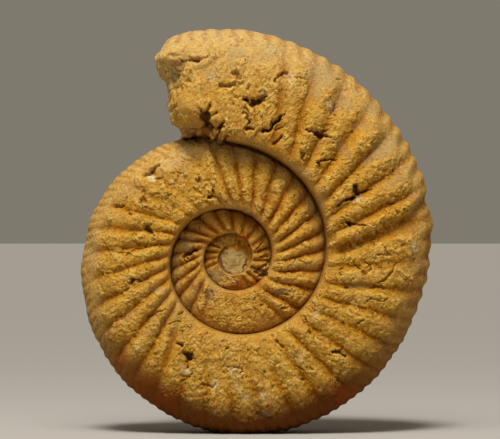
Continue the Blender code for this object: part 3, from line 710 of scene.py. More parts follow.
def share_at(angle):
    """Share of height reached at a point of the section, whose angle runs from 0 to pi.

    It is half of one less a power of the cosine, and a second power moves the widest place down.
    """
    turn = np.cos(angle)
    return (0.5 * (1 - np.sign(turn) * np.abs(turn) ** BOX_POWER)) ** WIDEST_SHIFT


def angle_at(share):
    """The section angle that gives a share of height: share_at the other way round."""
    turn = 1 - 2 * np.clip(share, 0, 1) ** (1 / WIDEST_SHIFT)
    return np.arccos(np.sign(turn) * np.abs(turn) ** (1 / BOX_POWER))


def seam_height(deg, turns=3):
    """Distance of the seam from the middle plane: the height of the whorl one turn earlier.

    It looks that many turns back at most, and takes a share of the half thickness before that.
    """
    if turns == 0:
        return FIRST_SEAM_HEIGHT * half_thickness(deg)
    before = deg - TURN
    return np.where(
        before < START_DEG,
        FIRST_SEAM_HEIGHT * half_thickness(deg),
        section_height(before, angle_at(covered_share(before)), turns - 1),
    )


def section_height(deg, angle, turns=3):
    """Distance of the flank from the middle plane at an angle of the section.

    It is the half thickness times a power of the sine, and the seam's height, which a power of what is
    left to the rim fades out.
    """
    rest = np.clip(1 - share_at(angle), 0, 1)
    body = half_thickness(deg) * np.abs(np.sin(angle)) ** BOX_POWER
    return body + seam_height(deg, turns) * rest ** SEAM_BLEND


def pushed_back(deg, share):
    """Degrees with the broken end's outline worked in over the last stretch of the whorl."""
    run = np.clip((deg - END_DEG + EDGE_RUN_DEG) / EDGE_RUN_DEG, 0, 1) ** 2
    return deg - run * through(EDGE_SHARE, EDGE_BACK_DEG, share) * step(0.0, EDGE_FROM_SHARE, share)


def base_points(deg, angle, side):
    """Plain surface of the whorl in mm, as x, y, z about the axis: y is minus in front.

    The radius runs from seam to rim with the share of height and turns with the degrees. The height
    over the middle plane is the section's, rising from the plug at the start and lower near the end.
    """
    share = share_at(angle)
    radius = radius_at(deg, share)
    start = step(START_DEG, START_DEG + PLUG_MERGE_DEG, deg)
    height = PLUG_LEVEL_MM + (section_height(deg, angle) - PLUG_LEVEL_MM) * start
    ending = np.clip((deg - END_DEG + EDGE_ROUND_DEG) / EDGE_ROUND_DEG, 0, 1)
    rounding = 1 - EDGE_ROUND * ending ** EDGE_ROUND_POWER * step(0.0, EDGE_ROUND_FROM_SHARE, share)
    at = np.radians(pushed_back(deg, share))
    return np.stack([radius * np.cos(at), side * height * rounding, radius * np.sin(at)], axis=-1)


def rib_count(deg, share):
    """Grooves passed since the start, a whole number in each groove, with the ribs' forward lean."""
    lean = through(LEAN_SCALE_DEG, LEAN_SCALE, deg) * np.interp(share, LEAN_SHARE, LEAN_DEG)
    inner = np.arange(GROOVE_DEG[0] - INNER_GROOVES * INNER_GROOVE_STEP_DEG, GROOVE_DEG[0],
                      INNER_GROOVE_STEP_DEG)
    grooves = np.concatenate([inner, GROOVE_DEG])
    return np.interp(deg - lean, grooves, np.arange(len(grooves)))


def ribs(deg, share):
    """Height in mm of main ribs, fine ribs and the growth stop, and how deep in a groove it is.

    Main ribs are a power of a cosine wave over the count of grooves, fine ribs have two or three waves
    to each of theirs, and the growth stop is a bell curve down and its collar a bell curve up.
    """
    count = rib_count(deg, share)
    crest = (0.5 - 0.5 * np.cos(2 * np.pi * count)) ** RIB_ROUNDNESS
    by_three = 0.5 - 0.5 * np.cos(6 * np.pi * count)
    by_two = 0.5 - 0.5 * np.cos(4 * np.pi * count)
    later = step(*TWO_FINE_FROM_DEG, deg)
    fine = (1 - later) * by_three + later * by_two
    fork = step(*FORK_SHARE, share)
    each = np.random.default_rng(SEEDS["rib heights"]).uniform(*RIBS_DIFFER, RIB_HEIGHTS)
    tall = crest * each[np.floor(count).astype(int) % RIB_HEIGHTS]
    strong = np.interp(deg, RIB_DEG, RIB_MM)
    height = (1 - fork) * strong * (tall - 0.5)
    off_seam = step(0.0, np.interp(deg, SMOOTH_DEG, SMOOTH_SHARE), share)
    height = height * off_seam
    over_rim = FINE_ON_FLANK + (FINE_ON_RIM - FINE_ON_FLANK) * step(*FINE_GROWS_SHARE, share)
    height = height + fork * over_rim * np.interp(deg, FINE_DEG, FINE_MM) * (fine - 0.5)
    off_stop = deg - through(STOP_SHARE, STOP_DEG, share)
    stop = np.exp(-((off_stop / STOP_HALF_DEG) ** 2))
    collar = np.exp(-(((off_stop - COLLAR_AFTER_DEG) / STOP_HALF_DEG) ** 2))
    band = step(0.0, STOP_FROM_SHARE, share)
    height = height * (1 - STOP_FLATTENS * stop) + band * (COLLAR_MM * collar - STOP_DEPTH_MM * stop)
    hollow = (1 - fork) * (1 - crest) * off_seam * np.minimum(strong / FULL_GROOVE_MM, 1)
    groove = hollow ** GROOVE_POWER + FINE_GROOVE * fork * (1 - fine) + stop * band * STOP_GROOVE
    return height, np.minimum(groove, 1.0)


def ovals(deg, share, spots, ragged):
    """Sum of oval spots with steep sides and flat tops: strength times exp(-(u^2 + v^2)^steepness).

    u and v are measured along and across the oval in its half sizes, and ragged is a random field that
    pulls its edge in and out.
    """
    radius = radius_at(deg, share)
    total = np.zeros(np.broadcast(deg, share).shape)
    for at_deg, at_share, length, width, turn, strength in spots:
        rows = np.abs(deg[:, 0] - at_deg) < OVAL_REACH_DEG
        along = np.radians(deg[rows] - at_deg) * radius[rows]
        across = (share[rows] - at_share) * whorl_height(at_deg)
        tilt = np.radians(turn)
        u = (along * np.cos(tilt) + across * np.sin(tilt)) / length
        v = (across * np.cos(tilt) - along * np.sin(tilt)) / width
        away = (u * u + v * v) * np.maximum(1 + ragged[rows], OVAL_RAGGED_LOW)
        total[rows] += strength * np.exp(-away ** OVAL_STEEPNESS)
    return total


def seen_at(points):
    """Pixels of the photograph in which points of the front flank, in mm about the axis, are seen."""
    nearer = 1 - FLANK_NEARER_MM / (CAMERA_AWAY / MM)
    x = OBJECT_X_PIXEL + (points[..., 0] + AXIS_X_MM) / (MM_PER_PIXEL * nearer)
    up = points[..., 2] + AXIS_HEIGHT_MM - VIEW_HEIGHT_MM
    return x, VIEW_Y_PIXEL - up / (MM_PER_PIXEL * nearer)


def strokes(points, ragged):
    """Depth of the pits and height of the ridges that all strokes make, in mm.

    Each falls from its depth on its line to about 0 past its half width. The width runs evenly from the
    start of the line to its end, and ragged pulls the edges about. The deepest pit counts, ridges add.
    """
    x, y = seen_at(points)
    pits = np.zeros(x.shape)
    ridges = np.zeros(x.shape)
    for half_start, half_end, depth, line in STROKES:
        corners = np.array(line, float)
        reach = 2 * max(half_start, half_end) / MM_PER_PIXEL
        low = corners.min(axis=0) - reach
        high = corners.max(axis=0) + reach
        near = (x > low[0]) & (x < high[0]) & (y > low[1]) & (y < high[1])
        here = np.stack([x[near], y[near]], axis=-1)
        ratio = np.full(here.shape[:1], FAR)
        spans = np.linalg.norm(np.diff(corners, axis=0), axis=-1)
        reached = 0.0
        for start, end, span in zip(corners[:-1], corners[1:], spans):
            part = np.clip(((here - start) @ (end - start)) / span ** 2, 0, 1)
            off = np.linalg.norm(here - start - part[:, None] * (end - start), axis=-1)
            half = half_start + (half_end - half_start) * (reached + part * span) / spans.sum()
            ratio = np.minimum(ratio, off * MM_PER_PIXEL / half)
            reached += span
        if depth > 0:
            shape = depth * (1 - step(*STROKE_SIDE, ratio + STROKE_RAGGED * ragged[near]))
            pits[near] = np.maximum(pits[near], shape)
        else:
            ridges[near] -= depth * np.exp(-RIDGE_STEEPNESS * ratio ** 2)
    return pits, ridges


def patches(points, spots, ragged):
    """Mask of oval patches of colour with soft, ragged edges: the strongest one at each point."""
    x, y = seen_at(points)
    pulled = np.maximum(1 + ragged, PATCH_RAGGED_LOW)
    total = np.zeros(x.shape)
    for at_x, at_y, half_x, half_y, turn, strength in spots:
        tilt = np.radians(turn)
        u = ((x - at_x) * np.cos(tilt) - (y - at_y) * np.sin(tilt)) / half_x
        v = ((y - at_y) * np.cos(tilt) + (x - at_x) * np.sin(tilt)) / half_y
        total = np.maximum(total, strength * (1 - step(*PATCH_SIDE, (u * u + v * v) * pulled)))
    return total


def outward(points, sign):
    """Unit normals of a grid of points, rows along the whorl: the cross product of its two steps.

    The sign picks the side.
    """
    along = np.gradient(points, axis=0)
    across = np.gradient(points, axis=1)
    normal = np.cross(across, along) * sign
    return normal / np.maximum(np.linalg.norm(normal, axis=-1, keepdims=True), TINY)


def stations():
    """Degrees along the spiral at equal steps of the rim's length, so that rows stay equally close."""
    fine = np.linspace(START_DEG, END_DEG, STATION_FINENESS)
    length = np.concatenate([[0.0], np.cumsum(np.radians(np.diff(fine)) * rim_radius(fine[1:]))])
    count = round(length[-1] / STATION_MM)
    return np.interp(np.linspace(0, length[-1], count + 1), length, fine)[:, None]


def even_columns():
    """Section angles as a share of pi, at equal steps of length round a middling section."""
    angle = np.linspace(0, np.pi, SECTION_FINENESS)
    x = share_at(angle)
    y = SECTION_WIDTH_SHARE * np.sin(angle) ** BOX_POWER
    length = np.concatenate([[0.0], np.cumsum(np.hypot(np.diff(x), np.diff(y)))])
    return np.interp(np.linspace(0, length[-1], COLUMNS), length, angle)[None, :] / np.pi


def crust_relief(points, cover):
    """Height of the crust in mm where the mask cover is 1, how deep in its crevices and holes it is, and
    how its crumbs stand, from 0 to 1.

    Crumbs of two sizes, each at its own level, with crevices between the larger ones and small holes.
    """
    bent = points + CRUMB_BEND_MM * bending(points, CRUMB_BEND_SIZE_MM, SEEDS["crumb bend"])
    nearest, second, level = cells(bent, CRUMB_MM, SEEDS["crumbs"])
    gap = second - nearest
    cracked = grain(points, CREVICE_PATCH_MM, SEEDS["crevices"]) + CREVICE_MORE
    crevice = (1 - step(0.0, CREVICE_EDGE, gap)) * step(0.0, CREVICE_PATCH_SIDE, cracked)
    near_small, second_small, small_level = cells(bent, SMALL_CRUMB_MM, SEEDS["small crumbs"])
    small = (small_level - 0.5) * step(0.0, SMALL_CRUMB_EDGE, second_small - near_small)
    near_hole, _, hole_number = cells(bent, HOLE_MM, SEEDS["holes"])
    torn = HOLE_RAGGED * grain(points, HOLE_RAGGED_MM, SEEDS["ragged holes"])
    hole_side = 1 - step(*HOLE_SIDE, near_hole * HOLE_MM / HOLE_RADIUS_MM + torn)
    hole = (hole_number > NO_HOLE_SHARE) * hole_side
    height = CRUST_THICK_MM + CRUMB_HEIGHT_MM * (level - 0.5) * step(0.0, CRUMB_EDGE, gap)
    height = height + SMALL_CRUMB_HEIGHT_MM * small - CREVICE_MM * crevice - HOLE_DEEP_MM * hole
    sandy = SANDY_SHARE * SMALL_CRUMB_HEIGHT_MM * small
    standing = STANDS_BY_CRUMB * (level - 0.5) + STANDS_BY_SMALL * small
    standing = 0.5 + standing * (STANDS_BARE + (1 - STANDS_BARE) * cover)
    return cover * height + (1 - cover) * sandy, cover * np.maximum(hole, CREVICE_MASK * crevice), standing


def fallen_edge(deg, share):
    """How far a covered whorl has fallen away beside the whorl on top of it, from 0 to 1."""
    before = np.minimum(deg, END_DEG - TURN)
    margin = np.where(deg < END_DEG - TURN, covered_share(before), NEVER_COVERED)
    fallen = step(margin - MARGIN_BEFORE, margin + MARGIN_PAST, share)
    return fallen * (1 - step(*MARGIN_ENDS_DEG, deg))


def crust_wanted(deg, share, plain, groove, ash):
    """How much calls for crust: what the spiral, the whorl and the patches ask, less groove and ash."""
    wanted = np.interp(deg, CRUSTED_DEG, CRUSTED) - CRUSTED_LESS
    wanted = wanted + np.interp(share, CRUSTED_SHARE, CRUSTED_ACROSS)
    wanted = wanted - GROOVE_BARE * (groove - GROOVE_MIDDLING)
    rib_side = np.sin(2 * np.pi * rib_count(deg, share))
    wanted = wanted + CRUMBLY_SIDE * rib_side * step(*CRUMBLY_SIDE_DEG, deg)
    return wanted + rough(plain, CRUST_PATCH_MM, SEEDS["crust patches"], 5) * CRUST_PATCHY - ash


def flank(side):
    """Grid of points of one flank, from seam to rim middle, with its masks for the finish.

    Plain whorl surface, moved along its normals by ribs, the fallen edge, end relief, pits, lumps and
    crust. One more column of points in front is the edge that is tucked in under the seam.
    """
    deg = stations()
    last = angle_at(np.minimum(covered_share(np.minimum(deg, END_DEG - TURN)) + HIDDEN_SHARE, 1.0))
    limit = last + (np.pi - last) * step(*OPENING_DEG, deg)
    angle = limit * even_columns()
    share = share_at(angle)
    plain = base_points(deg, angle, side)
    ragged = sum(strength * rough(plain, size, seed, octaves)
                 for (strength, size, octaves), seed in zip(RAGGED, SEEDS["ragged"]))
    height, groove = ribs(deg, share)
    height = height * (1 + RIB_UNEVEN * grain(plain, RIB_UNEVEN_MM, SEEDS["uneven ribs"]))
    at = np.radians(deg)
    shaded = step(*SHADED_SINE, np.sin(at - SHADED_TURN))
    fallen = fallen_edge(deg, share)
    height = height - (MARGIN_DROP + SHADED_DROP * shaded) * half_thickness(deg) * fallen
    off_rim = 1 - step(*OFF_RIM_SHARE, share)
    if side < 0:
        height = height + ovals(deg, share, END_RELIEF, END_RELIEF_RAGGED * ragged) * off_rim
        bent = plain + STROKE_BEND_MM * bending(plain, STROKE_BEND_SIZE_MM, SEEDS["stroke bend"])
        pit, ridge = strokes(bent, ragged)
        pit = np.minimum(pit, PIT_AT_SEAM_MM + PIT_DEEPENS_MM * share)
        white, ash, rust = (patches(plain, spots, ragged)
                            for spots in (WHITE_AND_LIT_PATCHES, ASH_PATCHES, RUST_AND_SHADE_PATCHES))
    else:
        pit = ovals(deg, share, BACK_PITS, ragged)
        ridge = white = ash = rust = np.zeros(share.shape)
    height = height + (ridge - pit) * off_rim
    wanted = crust_wanted(deg, share, plain, groove, ash * off_rim)
    crumbs, holes, standing = crust_relief(plain, step(*CRUST_STEP, wanted))
    off_seam = step(0.0, OFF_SEAM_SHARE, share)
    height = height + LUMP_HEIGHT_MM * grain(plain, LUMP_MM, SEEDS["lumps"]) * off_seam
    height = height + CRUST_HEIGHT_MM * grain(plain, CRUST_MM, SEEDS["low crust"]) * off_seam
    height = height + crumbs * off_seam
    points = plain + outward(plain, -side) * height[..., None]
    inward = np.stack([-TUCK_MM * np.cos(at), -side * TUCK_THICKNESS_SHARE * half_thickness(deg),
                       -TUCK_MM * np.sin(at)], axis=-1)
    points = np.concatenate([plain[:, :1] + inward, points], axis=1)
    masks = {
        "share": share,
        "turns": np.broadcast_to(deg / TURN, share.shape),
        "groove": groove,
        "crust": step(*COVER_SIDE, wanted),
        "crumb": standing,
        # The pit mask is painted shade in the pits, holes and crevices of the crust.
        "pit": np.clip(pit / FULL_PIT_MM - SHALLOW_PIT, 0, 1) + HOLE_MASK * holes,
        # The seam mask is painted shade in the seam's crevice, stronger on the upper side under the whorl
        # on top.
        "seam": (0.5 + 0.5 * shaded) * np.maximum(fallen ** 2, 1 - step(0.0, SEAM_SHADE_SHARE, share)),
        "white": white,
        "ash": ash,
        "rust": rust,
    }
    return points, {name: np.concatenate([m[:, :1], m], axis=1) for name, m in masks.items()}


def end_wall(front, back):
    """Grid of points over the broken end, from the front flank's last line to the back's.

    Straight between the two lines, bulging out in the middle, with lumps and crumbs.
    """
    across = np.linspace(-1, 1, WALL_ROWS)[:, None, None]
    wall = front[-1][None] * (1 - across) / 2 + back[-1][None] * (1 + across) / 2
    across = across[..., 0]
    along = np.linspace(0, 1, front.shape[1])[None, :]
    at = np.radians(END_DEG)
    ahead = np.array([-np.sin(at), 0.0, np.cos(at)])
    inside = (1 - across ** 2) ** END_BULGE_POWER * np.sin(np.pi * along) ** END_BULGE_POWER
    lumps = np.minimum(rough(wall, WALL_LUMP_MM, SEEDS["wall lumps"]), WALL_LUMP_TOP)
    small = rough(wall, WALL_SMALL_MM, SEEDS["wall small lumps"])
    lumps = WALL_LUMP_HEIGHT_MM * lumps + WALL_SMALL_HEIGHT_MM * small
    crumbs, _, _ = crust_relief(wall, np.full(wall.shape[:2], WALL_CRUST))
    calm = step(0.0, WALL_CALM_ACROSS, 1 - np.abs(across)) * step(0.0, WALL_CALM_ALONG, 1 - along)
    push = END_BULGE_MM * inside + calm * (inside * lumps + crumbs)
    return wall + push[..., None] * ahead


def plug(side, skin):
    """Grid of points of the matrix in one umbilicus, and its masks.

    Rings run from the innermost whorl's edge, the first turn of its skin and the start of the spiral,
    inwards to the middle, at the plug's own level.
    """
    deg = stations()[:, 0]
    first_turn = skin[deg <= START_DEG + TURN, 1]
    start_line = skin[0, 1:]
    loop = np.concatenate([first_turn, start_line[::-1]])
    length = np.concatenate([[0.0], np.cumsum(np.linalg.norm(np.diff(loop, axis=0), axis=-1))])
    at = np.linspace(0, length[-1], PLUG_STEPS)
    loop = np.stack([np.interp(at, length, loop[:, k]) for k in range(3)], axis=-1)
    middle = np.array([PLUG_X_MM, 0.0, PLUG_Z_MM])
    part = np.linspace(0, 1, PLUG_RINGS)[None, :, None] ** PLUG_RING_POWER
    points = loop[:, None] + (middle - loop[:, None]) * part
    flat = points * [1, 0, 1]

    def field(size_and_height, seed, octaves):
        """Rough field over the flattened plug, of a size and a height in mm."""
        size, height = size_and_height
        return height * rough(flat, size, SEEDS[seed], octaves)

    away = np.hypot(points[..., 0] - PLUG_X_MM, points[..., 2] - PLUG_Z_MM)
    edge = away + field(PLUG_EDGE_MM, "plug edge", 4) - PLUG_RADIUS_MM
    upward = np.clip((points[..., 2] - PLUG_Z_MM) / PLUG_RADIUS_MM, 0, 1)
    upper = step(*PLUG_UPPER, upward)
    crack = np.exp(-((edge / PLUG_CRACK_MM[0]) ** 2)) * (1 - upper)
    crack = crack * step(*PLUG_CRACK_PATCH_SIDE, grain(flat, PLUG_CRACK_PATCH_MM, SEEDS["plug crack"]))
    level = PLUG_LEVEL_MM + field(PLUG_LUMP_MM, "plug level", 3) + field(PLUG_GRAIN_MM, "plug grains", 3)
    level = level - PLUG_CRACK_MM[1] * crack - PLUG_OUTSIDE_MM[1] * step(0, PLUG_OUTSIDE_MM[0], edge)
    hold = step(0.0, PLUG_HOLD, part[..., 0])
    points[..., 1] = loop[:, None, 1] * (1 - hold) + side * level * hold
    # The small hollows are painted shade only: they have no relief.
    hollow = step(*PLUG_HOLLOW_SIDE, field((PLUG_HOLLOW_MM, 1.0), "plug hollows", 3)) * upper
    inside = 1 - step(*PLUG_INSIDE_MM, edge + PLUG_INSIDE_UP * upward)
    return points, {"crack": np.maximum(crack, PLUG_HOLLOW_MASK * hollow), "inside": inside}


def kept_inside(points, low, high):
    """Points held inside the solid's box: flat at the floor, and drawn in smoothly front and back.

    What stands o deep in the side layer of depth d, or over it, ends d exp(-o / d) under the box.
    """
    half = (high[1] - low[1]) / 2
    off = points[..., 1] - (high[1] + low[1]) / 2
    deep = np.maximum(np.abs(off) - half + SIDE_LAYER_MM, 0)
    drawn = np.abs(off) - deep + SIDE_LAYER_MM * (1 - np.exp(-deep / SIDE_LAYER_MM))
    placed = np.clip(points, low, high)
    placed[..., 1] = (high[1] + low[1]) / 2 + np.sign(off) * np.minimum(drawn, half)
    return placed


def mesh_piece(name, points, normals, masks, material, flip):
    """Object from a grid of points in mm about the axis, with its normals and masks on its vertices."""
    rows, columns = points.shape[:2]
    index = np.arange(rows * columns).reshape(rows, columns)
    corners = [index[:-1, :-1], index[1:, :-1], index[1:, 1:], index[:-1, 1:]]
    if flip:
        corners = corners[::-1]
    faces = np.stack(corners, axis=-1).reshape(-1, 4)
    mesh = bpy.data.meshes.new(name)
    mesh.vertices.add(rows * columns)
    mesh.vertices.foreach_set("co", (points * MM).reshape(-1).astype(np.float32))
    mesh.loops.add(faces.size)
    mesh.loops.foreach_set("vertex_index", faces.reshape(-1).astype(np.int32))
    mesh.polygons.add(len(faces))
    mesh.polygons.foreach_set("loop_start", np.arange(0, faces.size, 4, dtype=np.int32))
    mesh.update(calc_edges=True)
    mesh.polygons.foreach_set("use_smooth", np.ones(len(faces), bool))
    mesh.normals_split_custom_set_from_vertices(normals.reshape(-1, 3).tolist())
    for mask, values in masks.items():
        mesh.attributes.new(mask, "FLOAT", "POINT").data.foreach_set(
            "value", values.reshape(-1).astype(np.float32))
    mesh.materials.append(material)
    piece = bpy.data.objects.new(name, mesh)
    bpy.context.scene.collection.objects.link(piece)
    return piece


class Wire:
    """A value or a colour in a material's node tree. Operators on it add Math nodes."""

    def __init__(self, finish, socket):
        self.finish = finish
        self.socket = socket

    def math(self, operation, *others, clamp=False):
        """A Math node with this wire as its first input."""
        inputs = dict(enumerate((self,) + others))
        return self.finish.add("Math", {"operation": operation, "use_clamp": clamp}, inputs)

    def __add__(self, other):
        return self.math("ADD", other)

    def __mul__(self, other):
        return self.math("MULTIPLY", other)

    def __sub__(self, other):
        return self.math("SUBTRACT", other)

    def __rsub__(self, other):
        return self.finish.add("Math", {"operation": "SUBTRACT"}, {0: other, 1: self})

    __radd__ = __add__
    __rmul__ = __mul__

    def between(self, low, high):
        """0 at low, 1 at high, smooth in between and held outside."""
        return self.finish.add(
            "MapRange", {"interpolation_type": "SMOOTHSTEP"},
            {"Value": self, "From Min": low, "From Max": high})

    def held(self):
        """Held between 0 and 1."""
        return self.math("ADD", 0.0, clamp=True)


class Finish:
    """One procedural material. add makes a node of any kind: settings first, then its inputs."""

    def __init__(self, name, roughness, specular):
        self.material = bpy.data.materials.new(name)
        self.material.use_nodes = True
        self.tree = self.material.node_tree
        self.shader = self.tree.nodes["Principled BSDF"]
        self.shader.inputs["Roughness"].default_value = roughness
        self.shader.inputs["Specular IOR Level"].default_value = specular

    def feed(self, socket, value):
        """Links a wire to the socket, or sets any other value on it."""
        if isinstance(value, Wire):
            self.tree.links.new(value.socket, socket)
        else:
            socket.default_value = value

    def add(self, kind, settings, inputs, out=0):
        """A node of any kind, and the wire from one of its outputs."""
        node = self.tree.nodes.new("ShaderNode" + kind)
        for key, value in settings.items():
            setattr(node, key, value)
        for key, value in inputs.items():
            self.feed(node.inputs[key], value)
        return Wire(self, node.outputs[out])

    def mask(self, name):
        """One of the masks that the pieces carry on their vertices."""
        return self.add("Attribute", {"attribute_name": name}, {}, "Fac")

    def noise(self, size_mm, detail=2.0, distortion=0.0, roughness=0.5):
        """Noise in object coordinates with features of about the given size, around 0.5."""
        where = self.add("TexCoord", {}, {}, "Object")
        return self.add("TexNoise", {}, {
            "Vector": where, "Scale": 1000.0 / size_mm, "Detail": detail,
            "Roughness": roughness, "Distortion": distortion})

    def mix(self, amount, first, second):
        """Colour between first and second by amount."""
        return self.add("Mix", {"data_type": "RGBA"}, {0: amount, 6: first, 7: second}, 2)

    def colour(self, value):
        """Sets the shader's colour."""
        self.feed(self.shader.inputs["Base Color"], value)

    def bump(self, height, distance_mm):
        """Fine unevenness in the light on the surface, for grains finer than the mesh."""
        self.feed(self.shader.inputs["Normal"], self.add(
            "Bump", {}, {"Height": height, "Distance": distance_mm * MM, "Strength": 1.0}))


def paint(red, green, blue):
    """Linear colour for a material from a display colour with parts from 0 to 255."""
    return tuple(((c / 255) / 12.92 if c < 10.3 else ((c / 255 + 0.055) / 1.055) ** 2.4)
                 for c in (red, green, blue)) + (1.0,)


GOLD = paint(201, 150, 34)
DEEP_GOLD = paint(176, 110, 4)
PALE_GOLD = paint(215, 178, 92)
UPPER_PALE = paint(190, 162, 112)
BEIGE = paint(191, 151, 82)
TAN = paint(176, 122, 36)
BROWN = paint(132, 76, 3)
RUST = paint(146, 64, 6)
SEAM_SHADE_BROWN = paint(98, 48, 16)
LOW_RIM_BROWN_AND_SHADE = paint(97, 43, 8)
DARK_BROWN = paint(44, 17, 3)
ASH = paint(158, 138, 97)
CHALK = paint(214, 203, 160)
MATRIX = paint(172, 154, 104)


def stone_finish():
    """Ochre limestone: gold crust, tan worn skin, rust inside, painted shade in grooves and pits."""
    stone = Finish("stone", 0.9, 0.06)
    share = stone.mask("share")
    turns = stone.mask("turns")
    groove = stone.mask("groove")
    crust = stone.mask("crust")
    crumb = stone.mask("crumb")
    broad = stone.noise(16.0, 3.0, 0.4)
    middling = stone.noise(5.0, 4.0, 0.6)
    small = stone.noise(1.3, 4.0, 0.3, 0.6)
    speckle = stone.noise(0.45, 2.0)
    worn = stone.mix(middling.between(0.35, 0.65), TAN, DEEP_GOLD)
    worn = stone.mix(share.between(0.6, 0.9) * 0.7, worn, BEIGE)
    worn = stone.mix(broad.between(0.50, 0.68) * 0.4, worn, ASH)
    gold = stone.mix(small.between(0.3, 0.7), DEEP_GOLD, GOLD)
    gold = stone.mix(speckle.between(0.5, 0.75) * 0.6, gold, PALE_GOLD)
    flank = share.between(0.03, 0.2) * (1.0 - share.between(0.62, 0.9))
    goldness = (crust * 0.35 + flank * 0.45 + (middling - 0.5) * 1.6).held()
    colour = stone.mix(goldness, worn, gold)
    inner = 1.0 - turns.between(0.0, 0.3)
    rusty = inner * (groove * 0.6 + (middling - 0.5) * 1.4).held()
    colour = stone.mix(rusty * 0.5, colour, RUST)
    colour = stone.mix(inner * groove.between(0.6, 1.0) * 0.6, colour, RUST)
    # Paler over the upper part of the last whorl.
    upper_paleness = turns.between(1.12, 1.28) * (share.between(0.35, 0.8) * 0.5 + 0.1)
    colour = stone.mix(upper_paleness, colour, UPPER_PALE)
    # Painted shade in the grooves and on the low crumbs.
    low = (groove.between(0.35, 1.0) * 0.55 + crumb.between(0.5, 0.15) * 0.45).held()
    colour = stone.mix(low, colour, BROWN)
    # Painted highlight on the rib crests and on the high crumbs.
    high = ((1.0 - groove).between(0.45, 1.0) * 0.3 + crumb.between(0.5, 0.85) * 0.4).held()
    colour = stone.mix(high, colour, PALE_GOLD)
    rim = share.between(0.72, 0.92)
    colour = stone.mix(rim * small.between(0.52, 0.70) * 0.45, colour, CHALK)
    colour = stone.mix(rim * small.between(0.48, 0.30) * 0.6, colour, TAN)
    grit = stone.noise(0.8, 3.0, 0.2, 0.7)
    colour = stone.mix(grit.between(0.52, 0.72) * 0.45, colour, PALE_GOLD)
    # Painted shade along the lower rim, which the light from above leaves darker, with some red-brown of
    # its own.
    low_rim_shade_and_colour = share.between(0.60, 0.86) * (turns.between(0.53, 0.68) * (1.0 - turns.between(0.84, 1.0)))
    colour = stone.mix(low_rim_shade_and_colour * 0.93, colour, LOW_RIM_BROWN_AND_SHADE)
    # The rust mask is rust, with painted shade under the lobe at the broken end.
    colour = stone.mix(stone.mask("rust") * 0.9, colour, RUST)
    colour = stone.mix(stone.mask("ash") * (0.35 + small * 0.6), colour, ASH)
    # The white mask is chalky spots, with painted light below the broken end.
    colour = stone.mix((stone.mask("white") * small.between(0.25, 0.6)).held(), colour, CHALK)
    # Painted shade in the crevices at the seams.
    colour = stone.mix(stone.mask("seam") * 0.6, colour, SEAM_SHADE_BROWN)
    # Painted shade in the pits, holes and crevices.
    colour = stone.mix(stone.mask("pit").between(0.25, 1.0) * 0.8, colour, DARK_BROWN)
    colour = stone.mix(grit.between(0.50, 0.30) * 0.55, colour, BROWN)
    fleck = stone.noise(1.5, 3.0, 1.6, 0.55).between(0.38, 0.30) * (crust.between(0.1, 0.6) * 0.6 + 0.4)
    colour = stone.mix(fleck * 0.65, colour, DARK_BROWN)
    stone.colour(colour)
    stone.bump(small * 0.3 + grit * 0.7 - fleck * 0.4, 0.8)
    return stone.material


def matrix_finish():
    """Greenish grey sandy matrix, with painted shade in its crack and small hollows, rust where it is
    deep.
    """
    matrix = Finish("matrix", 0.9, 0.12)
    inside = matrix.mask("inside")
    crack = matrix.mask("crack")
    small = matrix.noise(0.9, 4.0, 0.2, 0.6)
    speckle = matrix.noise(0.35, 2.0)
    sand = matrix.mix(small.between(0.3, 0.7), MATRIX, BEIGE)
    sand = matrix.mix(speckle.between(0.6, 0.75) * 0.5, sand, CHALK)
    sand = matrix.mix(matrix.noise(1.1, 3.0, 0.4).between(0.42, 0.30) * 0.6, sand, BROWN)
    skin = matrix.mix(matrix.noise(2.2, 4.0, 0.5).between(0.25, 0.6), RUST, TAN)
    skin = matrix.mix(small.between(0.55, 0.3) * 0.6, skin, BROWN)
    colour = matrix.mix(inside, skin, sand)
    # Painted shade in the crack and the small hollows.
    colour = matrix.mix(crack * 0.8, colour, DARK_BROWN)
    matrix.colour(colour)
    matrix.bump(small * 0.5 + speckle * 0.5, 0.25)
    return matrix.material


def floor_finish():
    """Plain pale floor."""
    floor = Finish("pale floor", 0.9, 0.1)
    floor.colour(FLOOR_COLOUR)
    return floor.material


def fossil_pieces():
    """Every piece of the fossil as its name, points, masks, material, flip and normals or None.

    Each flank is cut into three stretches whose normals are worked out before the cut, so that no seam
    shows between them.
    """
    stone = stone_finish()
    matrix = matrix_finish()
    deg = stations()[:, 0]
    opening = int(np.searchsorted(deg, OPENING_DEG[0]))
    middle = (opening + len(deg) - 1) // 2
    stretches = (("inner_whorls", 0, opening), ("lower_whorl", opening, middle),
                 ("upper_whorl", middle, len(deg) - 1))
    made = []
    skins = []
    for side, where in ((-1.0, "front"), (1.0, "back")):
        points, masks = flank(side)
        skins.append(points)
        made.append(("matrix_" + where, *plug(side, points), matrix, side > 0, None))
        normals = outward(points, -side)
        for name, first, last in stretches:
            rows = slice(first, last + 1)
            part = {mask: values[rows] for mask, values in masks.items()}
            made.append((where + "_" + name, points[rows], part, stone, side < 0, normals[rows]))
    wall = end_wall(*skins)
    wall_masks = {mask: np.full(wall.shape[:2], value) for mask, value in WALL_MASKS.items()}
    made.append(("broken_end", wall, wall_masks, stone, False, None))
    return made


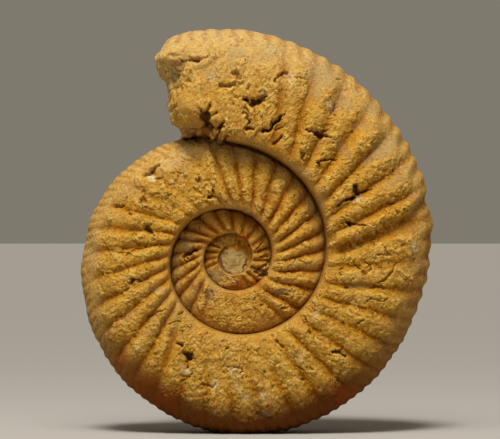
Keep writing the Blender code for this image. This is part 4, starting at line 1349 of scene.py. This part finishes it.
def dress():
    """Puts every piece of the fossil in the place of the solid."""
    made = fossil_pieces()
    low, high = (np.array(corner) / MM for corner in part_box("ammonite"))
    across = np.concatenate([points[..., 0].reshape(-1) for _, points, *_ in made])
    shift = np.array([(low[0] + high[0]) / 2 - (across.min() + across.max()) / 2,
                      (low[1] + high[1]) / 2 + FRONT_FULLER_MM, AXIS_HEIGHT_MM])
    for name, points, masks, material, flip, normals in made:
        if normals is None:
            normals = outward(points, 1.0 if flip else -1.0)
        placed = kept_inside(points + shift, low, high)
        piece = mesh_piece(name, placed, normals, masks, material, flip)
        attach(piece, "root")
        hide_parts("ammonite")


def put(name, data, place, turn_deg):
    """Object with a light or the camera at a place in m, turned by degrees about x, y and z."""
    made = bpy.data.objects.new(name, data)
    made.location = place
    made.rotation_euler = np.radians(turn_deg)
    bpy.context.scene.collection.objects.link(made)
    return made


def studio():
    """Pale floor, a soft key from above and in front, a weak fill, and the camera of the photograph."""
    bpy.ops.mesh.primitive_plane_add(size=FLOOR_SIZE)
    floor = bpy.context.object
    floor.name = "floor"
    floor.data.materials.append(floor_finish())
    world = bpy.data.worlds.new("studio")
    world.use_nodes = True
    background = world.node_tree.nodes["Background"]
    background.inputs["Color"].default_value = ROOM_COLOUR
    background.inputs["Strength"].default_value = ROOM_STRENGTH
    bpy.context.scene.world = world
    key = bpy.data.lights.new("key", "SUN")
    key.energy = KEY_STRENGTH
    key.angle = np.radians(KEY_WIDTH_DEG)
    key.color = LIGHT_COLOUR
    put("key", key, (0.0, 0.0, 0.0), KEY_TURN_DEG)
    lamp = bpy.data.lights.new("top lamp", "AREA")
    lamp.shape = "DISK"
    lamp.size = LAMP_SIZE
    lamp.energy = LAMP_STRENGTH
    lamp.color = LIGHT_COLOUR
    put("top lamp", lamp, LAMP_PLACE, LAMP_TURN_DEG)
    view = bpy.data.cameras.new("view")
    view.sensor_width = SENSOR_MM
    view.lens = SENSOR_MM * CAMERA_AWAY / (PHOTO_WIDTH * MM_PER_PIXEL * MM)
    view.shift_y = (VIEW_Y_PIXEL - PHOTO_HEIGHT / 2) / PHOTO_WIDTH
    place = (VIEW_X_MM * MM, -CAMERA_AWAY, VIEW_HEIGHT_MM * MM)
    bpy.context.scene.camera = put("view", view, place, CAMERA_TURN_DEG)
    bpy.context.scene.view_settings.view_transform = "Standard"


dress()
studio()
